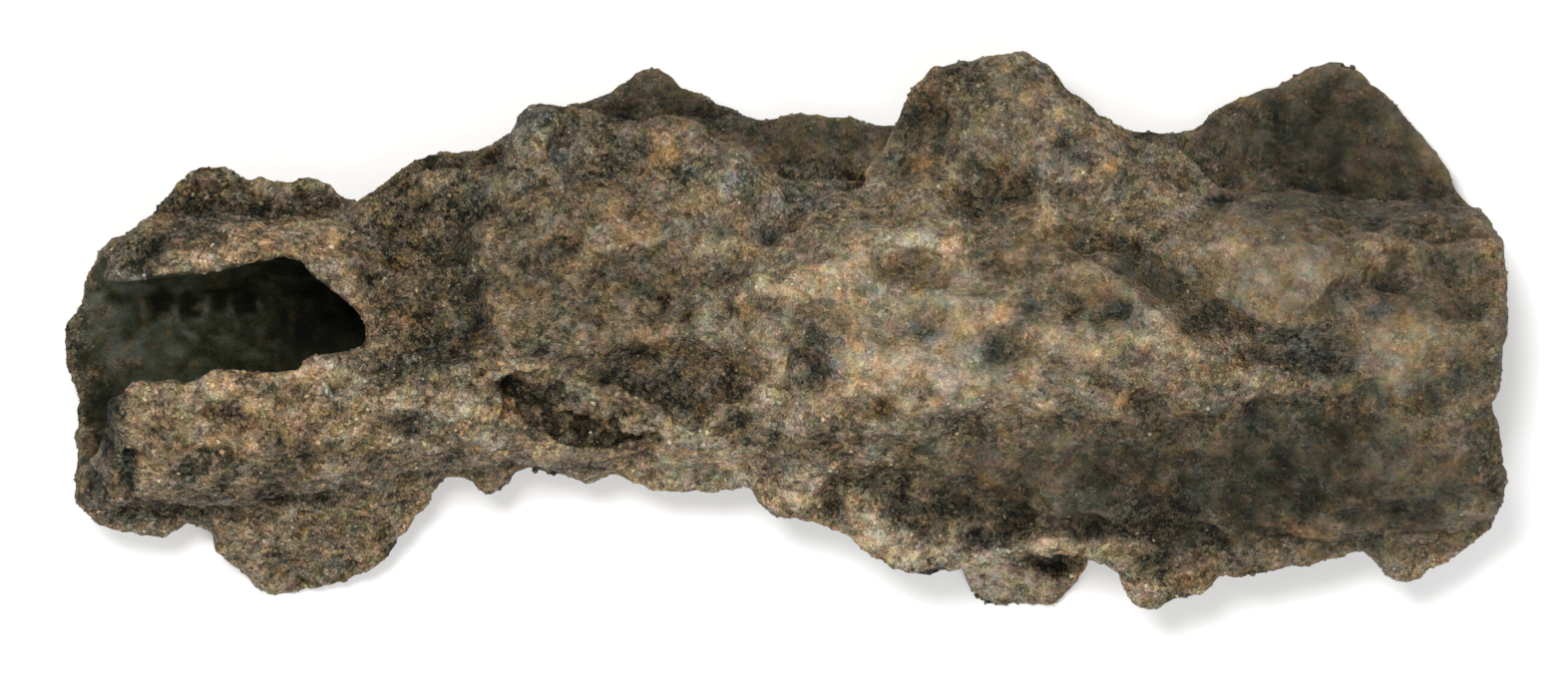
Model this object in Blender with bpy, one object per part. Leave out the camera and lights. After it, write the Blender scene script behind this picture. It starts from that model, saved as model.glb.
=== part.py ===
"""A fulgurite: one branch of sand that lightning fused into a hollow tube with ragged wings.

It lies on its back. X runs along the tube, from the broken open end at -X to the wide end at +X.
+Y is the side of the tall wings, and +Z points up from the surface that it rests on. The origin is
under the middle of the piece, on that surface. Sizes and places here are in millimetres, and
the meshes are made in metres.
"""

import math

import bmesh
import bpy
import numpy as np
from mathutils import Vector, noise
from mathutils.bvhtree import BVHTree

MM = 0.001

# Driving dimensions.
WING_EDGE = 0.8
WING_ROOT = 4.2
WING_INSET = 0.45
STATION_STEP = 0.5
TUBE_SIDES = 64
BORE_SIDES = 28
FUSE_VOXEL = 0.45
FINE_VOXEL = 0.28
SMOOTHING = 3
POLISHING = 2
THINNEST_WALL = 1.4
RELIEF = 1.15
CRUST = 0.6
TRIANGLES = 9500

# The tube along its length: x, middle y, middle z, half width, half height.
TUBE = [
    (-48, -2.2, 7.3, 8.6, 6.1),
    (-40, -2.1, 7.4, 9.0, 6.3),
    (-34, -1.8, 7.5, 9.1, 6.4),
    (-28, -1.2, 7.4, 8.6, 6.2),
    (-22, -0.5, 7.3, 8.2, 6.0),
    (-15, 0.2, 7.4, 8.4, 6.2),
    (-8, 0.5, 7.6, 8.8, 6.5),
    (0, 0.2, 7.9, 9.3, 6.9),
    (8, -0.6, 8.3, 10.1, 7.4),
    (16, -1.4, 8.7, 10.8, 7.9),
    (25, -1.9, 8.9, 11.1, 8.1),
    (34, -2.2, 8.8, 10.9, 8.0),
    (42, -2.2, 8.3, 10.2, 7.4),
    (50, -2.2, 7.9, 9.5, 6.9),
]

# The bore inside it, in the same columns.
BORE = [
    (-50, -1.9, 7.3, 6.3, 4.3),
    (-42, -1.8, 7.4, 6.2, 4.4),
    (-35, -1.1, 7.4, 5.8, 4.3),
    (-28, -0.6, 7.4, 5.2, 4.1),
    (-20, -0.3, 7.4, 4.8, 3.9),
    (-8, -0.3, 7.6, 4.7, 3.9),
    (6, -0.6, 7.9, 5.1, 4.1),
    (20, -0.9, 8.2, 6, 4.5),
    (34, -1.1, 8.4, 7.1, 5),
    (50, -1.4, 8.4, 7.9, 5.5),
]

# Each wing's free edge, seen from above: x, y. Its height is a second row: x, z.
BACK_WING = [
    (-30, 6.5), (-27, 7.9), (-25, 9.5), (-23.4, 10.6), (-22.2, 11.1), (-19.7, 11.4), (-18.1, 11.8),
    (-17, 12.6), (-15, 13.3), (-13.1, 14.2), (-11.3, 14.8), (-10.3, 15.4), (-9.4, 16.3), (-8.5, 16.9),
    (-7.7, 16.6), (-6.6, 15.6), (-4.1, 14.5), (-2.5, 13.6), (-0.9, 13.2), (0.9, 13.7), (3.8, 13.5),
    (5.3, 13.1), (6.8, 12.8), (9, 13.2), (12, 14.6), (15.5, 16.2), (17.2, 15.9), (20, 13.5),
    (21.4, 12.7), (22.2, 12.5), (24.7, 12.6), (25.9, 12.8), (26.9, 13.6), (29.1, 14.9), (31.6, 15.8),
    (34.6, 17.2), (36.5, 16.5), (38.3, 15), (40.3, 12.4), (41, 11), (42.2, 9.8), (42.7, 8.6),
    (43.6, 7.8), (44.6, 6.8), (46, 5),
]
BACK_WING_Z = [(-30, 5), (-20, 3.4), (-8.5, -0.2), (0, 3), (9, 3.2), (22, 3), (34.6, -0.2), (46, 4)]

FRONT_WING = [
    (-27, 7.2), (-25, 9), (-24, 9.6), (-20.9, 9.9), (-17.8, 10.1), (-17.1, 12.3), (-16.7, 13.8),
    (-15.6, 14.3), (-14, 14.1), (-11.6, 13.5), (-10, 13.1), (-7.8, 13.2), (-6.6, 13.5), (-5.3, 13.2),
    (-4.4, 12.3), (-4, 11.6), (-2.8, 11.7), (-1.7, 11.1), (-1.2, 10.2), (-0.6, 9.4), (1, 8.9),
    (4, 9.2), (5.2, 10.3), (6.2, 11.3), (6.9, 13.6), (7.8, 15.2), (9.3, 16.3), (10.4, 17),
    (12.5, 17.2), (14.6, 17.3), (16.3, 16.8), (17.8, 15.4), (19.6, 13.8), (20.7, 12.7), (21.6, 12.1),
    (24, 11.6), (26, 10.2), (27, 8.4), (30, 7.6), (40, 7), (46, 6),
]
FRONT_WING_Z = [(-27, 9), (-16, 11.2), (-5, 10.8), (1, 10), (7, 8), (14, 10), (20, 9.5), (30, 10), (46, 8)]

SHOULDER_WING = [
    (-48, 4), (-44, 4.5), (-42.5, 5.2), (-41.6, 5.6), (-40.3, 6.6), (-39, 7.9), (-37.8, 9.5),
    (-36.6, 10.4), (-35.6, 10.6), (-34.6, 10), (-34, 9.6), (-31, 9.5), (-30.3, 9.8), (-29.7, 9.6),
    (-28.4, 9), (-27, 8.6), (-26, 8.4), (-24, 7),
]
SHOULDER_WING_Z = [(-48, 6), (-36, 6.6), (-24, 7)]

FOOT_WING = [
    (-48, -9.5), (-44.2, -10.4), (-43.7, -11.3), (-43.1, -11.9), (-41.6, -12.6), (-40, -12.9),
    (-39, -13), (-38.1, -12.6), (-37.4, -12), (-36.3, -11.9), (-35.7, -12.8), (-35.7, -13.8),
    (-34.8, -14.7), (-33.5, -15.7), (-32.5, -16.4), (-31.3, -16.5), (-28.8, -16.1), (-27.5, -15.5),
    (-26.3, -15), (-25.3, -14.9), (-24.4, -14.2), (-23.9, -13.3), (-23.4, -12), (-22.9, -11.4),
    (-22.2, -10.6), (-21.7, -9.6), (-20.9, -8.9), (-20.3, -9.1), (-18.3, -10.2), (-17.5, -9.8),
    (-16.6, -8.7), (-15.9, -8.5), (-14, -9.1), (-12.2, -9.3), (-10.5, -8.7), (-9.7, -9.2),
    (-8.7, -9.8), (-5.9, -10), (-4.7, -10.2), (-3.1, -9.7), (-1, -9),
]
FOOT_WING_Z = [(-48, 6), (-38, 5.5), (-31.8, -0.2), (-24, 3.5), (-20, 5.5), (-10, 6), (-1, 6.5)]

KEEL_WING = [
    (-5, -7.5), (-2.8, -9.3), (-1.3, -10.8), (0, -11.7), (2.8, -12.2), (4.7, -13.5), (7.2, -14.8),
    (8.1, -15.1), (10.6, -15), (12, -14.4), (14, -13.9), (16, -13.8), (18.5, -14.1), (19.7, -14.2),
    (20.6, -14.9), (21, -15.7), (21.3, -16.8), (22.3, -17.4), (23.1, -17.5), (23.9, -17.2),
    (24.7, -16.6), (25.6, -16.8), (26.6, -16.3), (27.2, -15.6), (27.9, -15.2), (32.2, -15),
    (33.4, -14.6), (35.3, -14), (36.4, -13.3), (36.9, -13.7), (37.2, -15), (37.8, -15.5),
    (40, -15.6), (41, -14.7), (42.3, -13.9), (43.5, -13.1), (44.6, -12.2), (45.2, -10.8), (46, -10),
]
KEEL_WING_Z = [(-5, 8), (2, 8.5), (12, 9.5), (20, 9), (24, 8), (32, 8), (40, 7), (46, 7)]

LOBE_WING = [
    (0, -7), (5, -10), (9, -12.3), (10.8, -14), (11.6, -15.2), (12.2, -16.6), (13.2, -17.3),
    (15.5, -17.4), (17, -17.2), (18.4, -16.4), (19.2, -15), (19.7, -13), (24, -12), (34, -11),
]
LOBE_WING_Z = [(0, 3), (9, 1), (14.5, -0.2), (20, 1.5), (34, 3)]

# Name: edge, height of the edge, side of the tube, and how high on the tube it grows from.
WINGS = {
    "back": (BACK_WING, BACK_WING_Z, 1, -0.4),
    "front": (FRONT_WING, FRONT_WING_Z, 1, 0.4),
    "shoulder": (SHOULDER_WING, SHOULDER_WING_Z, 1, 0.0),
    "foot": (FOOT_WING, FOOT_WING_Z, -1, -0.2),
    "keel": (KEEL_WING, KEEL_WING_Z, -1, 0.1),
    "lobe": (LOBE_WING, LOBE_WING_Z, -1, -0.6),
}

# Relief on the upper face: x, y, half length, half width, turn in degrees, height.
UPPER_RELIEF = [
    # The saddle between the window and the middle, and the crust in front of it.
    (-22.6, 2.2, 3.6, 4.4, 0, -1.5),
    (-33.4, -6.9, 8, 3.6, 0, 0.9),
    (-23.6, -5.3, 5, 2.4, 0, 1.0),
    (-19.7, -7.1, 2.3, 1.8, 0, 0.7),
    (-30.6, -10.2, 2.2, 1.2, 20, -0.9),
    (-40.2, -8.1, 1.2, 1.0, 0, -0.9),
    # The hollow right of the gash, with lumps below it.
    (-6.9, -3, 4.6, 1.9, 0, -0.8),
    (-6.9, -6.1, 3.2, 1.3, 0, 1.3),
    (-12.8, -8.3, 3, 1.1, 0, 0.7),
    # The knobs along the front wing and the dips between them.
    (-15.4, 12.6, 1.7, 2.4, -15, 1.3),
    (-15.6, 9.2, 2.2, 2, 0, 0.6),
    (-10.8, 11.2, 1.6, 1.6, 0, -0.8),
    (-6.8, 11.9, 2.4, 1.6, 10, 1.0),
    (-2.9, 10.4, 1.3, 1.2, 0, 1.0),
    (-23.2, 8.7, 2.4, 1.2, 15, 0.6),
    (-10.3, 3, 9, 2.2, 0, -0.8),
    (-12.5, 6.4, 5, 1.4, 6, 0.7),
    (8.6, 11.6, 1.6, 2.2, 20, -0.7),
    (12.5, 8.2, 2.6, 1.3, 0, -1.5),
    (13.6, 14.2, 3.4, 2.2, 0, 1.0),
    (19.6, 11, 2.8, 1.6, -30, 0.8),
    # The plateaus of the swollen half.
    (8.7, -2.0, 5.4, 2.3, 0, 1.0),
    (21.5, -1.4, 6, 2.2, 5, 1.2),
    (4.2, 2.6, 3.4, 1.5, 25, 0.8),
    (11, 2.2, 2.4, 1.2, 10, 0.8),
    # Pits.
    (7.8, 4.2, 1.7, 1.2, 20, -1.2),
    (1.9, -2, 1.2, 1.2, 0, -1.5),
    (1.6, 0.4, 1.8, 1.2, 0, -0.8),
    (13.4, -1.4, 1.4, 1.1, 20, -1.5),
    (8.8, -0.2, 1.6, 0.8, 0, -0.9),
    (-0.4, 5.8, 1.5, 1.1, 30, -1.1),
    (27.3, 8, 1.0, 0.9, 0, -1.8),
    (4.4, 9.5, 1.1, 1.0, 0, -0.9),
    (2.8, -10.8, 0.8, 0.8, 0, -0.9),
    (-7.5, 2, 0.8, 0.8, 0, -0.8),
    # The big smooth lump of the wide end, the dips round it and the strip above.
    (30.4, 4, 4.4, 2.7, -18, 2.0),
    (40.2, 2.6, 4, 1.3, 0, -1.3),
    (40.6, -3.6, 2.4, 1.2, 10, -0.8),
    (39.5, -0.6, 3, 1.2, 0, 0.8),
    (36.5, 7, 6, 1.1, -4, 0.9),
    # The undercut flank above the keel wing, with a rib that crosses it.
    (12.5, -9.2, 5, 2.4, -8, -1.5),
    (27, -9.6, 9, 2.6, 2, -1.9),
    (17.5, -9.5, 1.6, 3, 0, 0.6),
    (38.5, -8.5, 4, 2, 15, 0.9),
    (5.6, -7.2, 4, 1.5, -18, 0.8),
    # The lit strip over the window and the dip in the shoulder above it.
    (-34, 5.6, 6, 1.1, 3, 0.8),
    (-32.8, 8.1, 5, 1.1, 0, -0.7),
    (-39.5, 5.6, 1.6, 0.8, 20, -0.6),
]

# Ledges on the upper face: points x, y; height; reach. The step is on the line, and the
# ground on its left stands higher and falls away over the reach.
UPPER_LEDGES = [
    ([(-19.5, 6), (-19.2, 2), (-19.7, -0.8)], 1.2, 4.5),
    ([(-12.2, -3), (-15, -1.8), (-18.4, -1.1), (-22.2, -2.2), (-26.2, -2.8)], 1.3, 3.2),
    ([(-2.2, -1.4), (-5.3, -0.9), (-9, -0.8), (-12.4, -1.4)], -1.7, 3),
    ([(-2, 0.6), (-1.9, -2), (-1.6, -5), (-0.6, -7)], 1.0, 5),
    ([(14.6, 6.7), (10.3, 7), (5.3, 5.8), (0.9, 4.4), (-2.2, 3.1)], 1.2, 3.4),
    ([(4, 3.6), (8, 2.2), (12, 3.4), (14.5, 2.2)], -0.8, 1.8),
    ([(34.5, -3.6), (28, -4.6), (20, -5.2), (13, -5), (7.5, -6)], -1.3, 4),
    ([(44, 3.8), (39, 4.4), (35, 3.4)], -0.9, 2.2),
    ([(26.8, 8.6), (33, 7.6), (41, 7.4)], -0.7, 2.4),
    ([(-38, 6.6), (-33.5, 7.2), (-29, 6.5)], -0.8, 2),
    ([(-30.4, -9.2), (-32, -11), (-34.4, -11.4)], 0.9, 2.4),
    ([(6.3, 13.2), (4.6, 10.2), (1.6, 8.8)], -0.7, 2),
]

# Grooves and ribs on the upper face: points x, y; half width; height.
UPPER_LINES = [
    ([(12, 5.7), (17, 6), (21, 4.8), (24.4, 3), (26.6, 0.8), (29.6, -0.9), (34.5, -1.2)], 1.2, -1.6),
    ([(14.2, 2.2), (16.4, 3.9), (19.4, 4), (21.8, 2.8), (22.9, 1.2)], 0.8, 1.1),
    ([(17.5, 1.4), (20.5, 0.9)], 0.7, -0.8),
    ([(-26, 3.6), (-24.4, 6.2), (-23.8, 9)], 0.9, -0.6),
    ([(-19.4, 7), (-13, 5), (-6, 4.9), (-1.6, 6)], 0.8, -0.6),
    ([(-17, 10.4), (-13.4, 10.2), (-9, 9.6)], 0.7, -0.5),
    ([(22, 8.6), (16.6, 9), (10.6, 11.2), (7.6, 13.6)], 0.8, -0.6),
    ([(17.4, 13), (15.6, 10.4), (16.2, 7.6)], 0.8, 0.6),
    ([(30.5, 14), (33.4, 10.4), (37.6, 8.8)], 0.9, -0.5),
    ([(-41, -5.4), (-36.6, -5), (-31, -5.6), (-26.4, -4.6)], 0.7, -0.5),
    ([(-37.6, -8.4), (-33, -8.8), (-29, -8)], 0.8, -0.6),
    ([(-12.6, -3.6), (-9.6, -4.8), (-5.4, -4.7), (-2.6, -5.2)], 0.7, 0.9),
]

# Relief on the lower face, in the same columns, where a height stands out downwards.
LOWER_RELIEF = [
    (-30, -2, 8, 1.4, 12, -1.2),
    (-12, 4, 10, 1.6, -8, -1.2),
    (-14, -5, 5, 2, 20, -0.9),
    (8, 3, 7, 1.5, 10, -1.4),
    (24, -5, 9, 1.8, -10, -1.2),
    (36, 4, 5, 2, 25, -1),
    (-38, 3, 4, 1.6, -20, -0.9),
    (20, 8, 4, 1.6, 30, -0.9),
    (30, -11, 5, 1.4, 0, -0.7),
    (0, -7, 1.4, 1.4, 0, -1.1),
    (14, -2, 1.3, 1.1, 0, -1.2),
    (-21, 0, 1.3, 1.1, 0, -1.1),
]

LOWER_LINES = [
    ([(-40, -5), (-28, -6), (-16, -3), (-4, -3), (10, -6), (26, -8), (42, -6)], 1.1, -0.9),
    ([(-36, 4), (-24, 3), (-12, 5.6), (0, 5), (14, 6), (30, 3), (42, 3)], 1, -0.9),
    ([(-8, 9), (-2, 6), (8, 8), (22, 9), (34, 11)], 0.9, 0.6),
]

# Where the two ends are broken: y, x at the back of the tube, x at its front. Each break slants between
# the two heights, which on the open end cross the bore, and on the wide end only bevel the front wall.
OPEN_END = [
    (-18, -36, -36), (-13.1, -40, -39.5), (-12.3, -42.8, -40.6), (-10.9, -44.3, -40.7), (-4, -44.4, -41.4),
    (-2, -45.2, -41.8), (0, -45.5, -41.8), (1, -44.7, -41.8), (3, -43.7, -41.6), (5, -42.8, -41.2),
    (5.7, -41.9, -41), (6.7, -40.6, -40.2), (8.1, -39.4, -39.2), (10, -37.7, -37.6), (18, -37, -37),
]
WIDE_END = [
    (-18, 38, 38), (-15.6, 40.2, 39.8), (-14, 42.2, 41.8), (-12.4, 44.4, 44.2), (-10.5, 45.1, 44.8),
    (-8, 45, 44.4), (-6, 44.4, 43.7), (-4.4, 44.1, 43.3), (-3.5, 44.9, 43.7), (-1, 44.9, 43.6),
    (2, 45.4, 43.9), (4, 45.3, 43.7), (6.7, 44.5, 43), (8.4, 43, 42), (18, 42.6, 42.6),
]

# The window in the tube's front wall: x, y round it.
WINDOW = [
    (-50, 3.2), (-40.3, 3.5), (-37, 3.8), (-34, 4), (-31, 4.5), (-30.2, 4.3), (-29.6, 3.4), (-28.2, 2.7),
    (-27.2, 1.2), (-26.6, 0.2), (-26.9, -0.8), (-28, -1.6), (-29.8, -1.9), (-30.4, -2.5), (-32.8, -2.5),
    (-35.5, -2.3), (-36.6, -3), (-38.5, -3.3), (-40.6, -3.3), (-41.4, -4.2), (-50, -4.2),
]

# The slanting gash below the shelf: x, y, half width, depth below the surface around it.
GASH = [
    (-18.4, -2.8, 0.4, 0.5), (-17.4, -3.4, 0.9, 1.2), (-15.6, -4.4, 1.5, 1.9), (-13.6, -5.4, 1.5, 2.1),
    (-11.4, -6.3, 1.1, 2), (-9.4, -6.7, 0.7, 1.3), (-7.9, -6.8, 0.3, 0.4),
]


def clear_scene():
    for thing in list(bpy.data.objects):
        bpy.data.objects.remove(thing)


def at(stations, x):
    """The values of a row of stations at x, without x itself."""
    columns = list(zip(*stations))
    return [float(np.interp(x, columns[0], column)) for column in columns[1:]]


def every(start, end, step=STATION_STEP):
    """Places from start to end, about one step apart."""
    return np.linspace(start, end, max(2, round((end - start) / step) + 1))


def mesh_object(name, points, faces):
    """An object whose points are given in millimetres."""
    mesh = bpy.data.meshes.new(name)
    mesh.from_pydata([Vector(p) * MM for p in points], [], faces)
    mesh.validate()
    made = bpy.data.objects.new(name, mesh)
    bpy.context.scene.collection.objects.link(made)
    return made


def loft(name, rings):
    """A closed skin through rings of equally many points, capped at both ends."""
    size = len(rings[0])
    faces = [list(range(size)), [(len(rings) - 1) * size + i for i in range(size)]]
    for row in range(len(rings) - 1):
        for i in range(size):
            a, b = row * size + i, row * size + (i + 1) % size
            faces.append([a, b, b + size, a + size])
    made = mesh_object(name, [p for ring in rings for p in ring], faces)
    face_outwards(made.data)
    return made


def face_outwards(mesh):
    work = bmesh.new()
    work.from_mesh(mesh)
    bmesh.ops.triangulate(work, faces=work.faces)
    bmesh.ops.recalc_face_normals(work, faces=work.faces)
    work.to_mesh(mesh)
    work.free()


def wobble(point, size, seed):
    """Smooth noise from -1 to 1, whose lumps are about size across."""
    return noise.noise(Vector(point) / size + Vector((seed, -seed, 2 * seed)))


def round_loft(name, stations, sides, roughness, lump):
    """A tube through stations of x, middle y, middle z, half width and half height."""
    rings = []
    for x in every(stations[0][0], stations[-1][0]):
        middle_y, middle_z, half_y, half_z = at(stations, x)
        ring = []
        for i in range(sides):
            turn = 2 * math.pi * i / sides
            y, z = half_y * math.cos(turn), half_z * math.sin(turn)
            swell = 1 + roughness * wobble((x, y, z), lump, 3.7)
            ring.append((x, middle_y + y * swell, middle_z + z * swell))
        rings.append(ring)
    return loft(name, rings)


def wing(name, edge, heights, side, root_height):
    """A plate that flares out of the tube and thins towards its free edge, which is round."""
    across = np.linspace(0, 1, 9)
    thick = WING_EDGE + (WING_ROOT - WING_EDGE) * (1 - across) ** 2
    rim = np.radians([60, 0, -60])
    rings = []
    for x in every(edge[0][0], edge[-1][0]):
        middle_y, middle_z, half_y, half_z = at(TUBE, x)
        root = np.array([middle_y + side * 0.5 * half_y, middle_z + root_height * half_z])
        tip = np.array([at(edge, x)[0] - side * WING_INSET, at(heights, x)[0]])
        out = (tip - root) / np.linalg.norm(tip - root)
        up = np.array([-out[1], out[0]])
        upper = [root + (tip - root) * t + up * w for t, w in zip(across, thick)]
        lower = [root + (tip - root) * t - up * w for t, w in zip(across, thick)]
        nose = [tip + WING_EDGE * (out * math.cos(a) + up * math.sin(a)) for a in rim]
        section = upper[:-1] + nose + lower[-2::-1]
        rings.append([(x, y, z) for y, z in section])
    return loft(name, rings)


def join(name, pieces):
    """All the pieces as one object. Their skins still cross until they are fused."""
    work = bmesh.new()
    for piece in pieces:
        work.from_mesh(piece.data)
        bpy.data.objects.remove(piece)
    mesh = bpy.data.meshes.new(name)
    work.to_mesh(mesh)
    work.free()
    made = bpy.data.objects.new(name, mesh)
    bpy.context.scene.collection.objects.link(made)
    return made


def apply_modifiers(target):
    graph = bpy.context.evaluated_depsgraph_get()
    mesh = bpy.data.meshes.new_from_object(target.evaluated_get(graph))
    target.modifiers.clear()
    target.data = mesh


def soften(target, iterations):
    smooth = target.modifiers.new("soften", "SMOOTH")
    smooth.factor = 0.5
    smooth.iterations = iterations
    apply_modifiers(target)


def fuse(target):
    """Melts the crossing skins into one, and softens the joins."""
    remesh = target.modifiers.new("fuse", "REMESH")
    remesh.mode = "VOXEL"
    remesh.voxel_size = FUSE_VOXEL * MM
    soften(target, SMOOTHING)


def nearest(points, line):
    """How far each point is from a line of x, y, and whether it lies on the line's left."""
    best = np.full(len(points), 1e9)
    side = np.zeros(len(points))
    for start, end in zip(line[:-1], line[1:]):
        a, b = np.array(start), np.array(end)
        share = np.clip((points[:, :2] - a) @ (b - a) / ((b - a) @ (b - a)), 0, 1)
        gap = points[:, :2] - a - share[:, None] * (b - a)
        distance = np.hypot(gap[:, 0], gap[:, 1])
        closer = distance < best
        best[closer] = distance[closer]
        turn = (b[0] - a[0]) * gap[:, 1] - (b[1] - a[1]) * gap[:, 0]
        side[closer] = np.sign(turn[closer])
    return best, side


def strokes_height(points, strokes):
    total = np.zeros(len(points))
    for x, y, half_x, half_y, turn, height in strokes:
        c, s = math.cos(math.radians(turn)), math.sin(math.radians(turn))
        along = (points[:, 0] - x) * c + (points[:, 1] - y) * s
        across = (points[:, 1] - y) * c - (points[:, 0] - x) * s
        reach = (along / half_x) ** 2 + (across / half_y) ** 2
        total += height * np.exp(-0.7 * reach ** 1.4)
    return total


def ledges_height(points, ledges):
    total = np.zeros(len(points))
    for line, height, reach in ledges:
        distance, side = nearest(points, line)
        rise = 0.5 + 0.5 * np.tanh(side * distance / 0.35)
        total += height * rise * np.exp(-(distance / reach) ** 2)
    return total


def lines_height(points, lines):
    total = np.zeros(len(points))
    for line, half_width, height in lines:
        distance, side = nearest(points, line)
        total += height * np.exp(-(distance / half_width) ** 2)
    return total


def thickness(target):
    """How deep the form is below each of its points, in millimetres."""
    work = bmesh.new()
    work.from_mesh(target.data)
    tree = BVHTree.FromBMesh(work)
    depths = []
    for vertex in work.verts:
        inwards = -vertex.normal
        hit = tree.ray_cast(vertex.co + inwards * 0.05 * MM, inwards)
        depths.append(20 if hit[3] is None else hit[3] / MM)
    work.free()
    return np.array(depths)


def bore_reach(points):
    """Half the height of the bore above or below its middle at each point, and that middle."""
    middle_y, middle_z, half_y, half_z = [
        np.interp(points[:, 0], [s[0] for s in BORE], [s[i] for s in BORE]) for i in range(1, 5)
    ]
    share = np.clip(1 - ((points[:, 1] - middle_y) / half_y) ** 2, 0, 1)
    return half_z * np.sqrt(share), middle_z


def sculpt(target):
    """Presses the relief into the fused form and roughens all of it, but spares thin wings and walls."""
    mesh = target.data
    depths = thickness(target)
    points = np.empty(len(mesh.vertices) * 3, np.float32)
    mesh.vertices.foreach_get("co", points)
    points = points.reshape(-1, 3).astype(float) / MM
    normals = np.array([tuple(v.normal) for v in mesh.vertices])
    drift = [(wobble(p, 4.5, 6.1), wobble(p, 4.5, 9.4), 0) for p in points]
    shiver = [(wobble(p, 1.5, 2.2), wobble(p, 1.5, 7.7), 0) for p in points]
    places = points + 1.5 * np.array(drift) + 0.8 * np.array(shiver)
    upper = strokes_height(places, UPPER_RELIEF) + ledges_height(places, UPPER_LEDGES)
    upper = RELIEF * (upper + lines_height(places, UPPER_LINES))
    lower = strokes_height(places, LOWER_RELIEF) + lines_height(places, LOWER_LINES)
    deepest = -0.25 * depths
    rise = np.maximum(upper, deepest) * np.clip(normals[:, 2] * 1.8 - 0.1, 0, 1)
    drop = np.maximum(lower, deepest) * np.clip(-normals[:, 2] * 1.8 - 0.1, 0, 1)
    points[:, 2] += rise - drop
    crust = np.array([wobble(p, 3.4, 1.3) + 0.5 * wobble(p, 1.7, 5.1) for p in points])
    crust *= CRUST * (0.45 + 0.55 * abs(normals[:, 2])) * np.clip(depths / 5, 0.3, 1)
    points += normals * crust[:, None]
    reach, middle_z = bore_reach(points)
    above = (normals[:, 2] > 0) & (reach > 0) & (points[:, 2] > middle_z)
    below = (normals[:, 2] < 0) & (reach > 0) & (points[:, 2] < middle_z)
    thinnest = reach + THINNEST_WALL
    points[above, 2] = np.maximum(points[above, 2], (middle_z + thinnest)[above])
    points[below, 2] = np.minimum(points[below, 2], (middle_z - thinnest)[below])
    mesh.vertices.foreach_set("co", (points * MM).astype(np.float32).ravel())
    mesh.update()


def cutter(made):
    made.hide_render = True
    made.display_type = "WIRE"
    return made


def cut(target, tool, name):
    boolean = target.modifiers.new(name, "BOOLEAN")
    boolean.operation = "DIFFERENCE"
    boolean.solver = "EXACT"
    boolean.object = cutter(tool)


def prism(name, outline, low, high):
    """An upright prism over an outline of x, y."""
    size = len(outline)
    points = [(x, y, low) for x, y in outline] + [(x, y, high) for x, y in outline]
    faces = [list(range(size)), list(range(size, 2 * size))]
    faces += [[i, (i + 1) % size, size + (i + 1) % size, size + i] for i in range(size)]
    made = mesh_object(name, points, faces)
    face_outwards(made.data)
    return made


def end_cutter(name, broken, outside, back_z, front_z):
    """What lies beyond a broken end: a block whose inner face slants from back to front."""
    far_z = 25
    rings = []
    for y in every(broken[0][0], broken[-1][0], 0.8):
        back_x, front_x = at(broken, y)
        lean = (front_x - back_x) / (front_z - back_z)
        ring = [(outside, y, -5), (outside, y, far_z)]
        for z in np.linspace(far_z, -5, 25):
            x = back_x + lean * min(max(z - back_z, 0), front_z - back_z)
            ring.append((x + 0.35 * wobble((x, y, z), 1.5, 8.2), y, z))
        rings.append(ring)
    return loft(name, rings)


def surface_height(x, y):
    """The tube's upper face at a place, before the relief."""
    middle_y, middle_z, half_y, half_z = at(TUBE, x)
    share = min(abs(y - middle_y) / half_y, 0.97)
    return middle_z + half_z * math.sqrt(1 - share ** 2)


def gash_cutter():
    rings = []
    for x in every(GASH[0][0], GASH[-1][0], 0.6):
        y, half_width, depth = at(GASH, x)
        top = surface_height(x, y) + 3
        tall = (3 + depth) / 2
        ring = []
        for i in range(16):
            turn = 2 * math.pi * i / 16
            swell = 1 + 0.8 * wobble((x, 1.6 * turn, 0), 1.2, 4.4)
            across, high = half_width * swell * math.cos(turn), tall * math.sin(turn)
            ring.append((x, y + across, top - tall + high))
        rings.append(ring)
    return loft("gash_cutter", rings)


def floor_cutter():
    """Everything below the resting plane."""
    corners = [(-70, -40), (70, -40), (70, 40), (-70, 40)]
    return prism("floor_cutter", corners, -20, 0)


def thin_out(target):
    """Evens the skin out, then keeps the lumps and the ledges with far fewer triangles."""
    remesh = target.modifiers.new("even out", "REMESH")
    remesh.mode = "VOXEL"
    remesh.voxel_size = FINE_VOXEL * MM
    remesh.use_smooth_shade = True
    graph = bpy.context.evaluated_depsgraph_get()
    mesh = target.evaluated_get(graph).to_mesh()
    mesh.calc_loop_triangles()
    decimate = target.modifiers.new("thin out", "DECIMATE")
    decimate.ratio = TRIANGLES / len(mesh.loop_triangles)
    target.evaluated_get(graph).to_mesh_clear()


def centre_all(target):
    """Moves everything so that the finished piece is centred on the origin from above."""
    graph = bpy.context.evaluated_depsgraph_get()
    mesh = target.evaluated_get(graph).to_mesh()
    points = np.array([tuple(v.co) for v in mesh.vertices])
    middle = (points.min(axis=0) + points.max(axis=0)) / 2
    target.evaluated_get(graph).to_mesh_clear()
    for thing in bpy.data.objects:
        thing.location = (-middle[0], -middle[1], 0)


def fused_sand():
    material = bpy.data.materials.new("fused_sand")
    material.use_nodes = True
    surface = material.node_tree.nodes["Principled BSDF"]
    surface.inputs["Base Color"].default_value = (0.125, 0.1, 0.07, 1)
    surface.inputs["Roughness"].default_value = 0.85
    surface.inputs["Metallic"].default_value = 0.0
    return material


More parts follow.
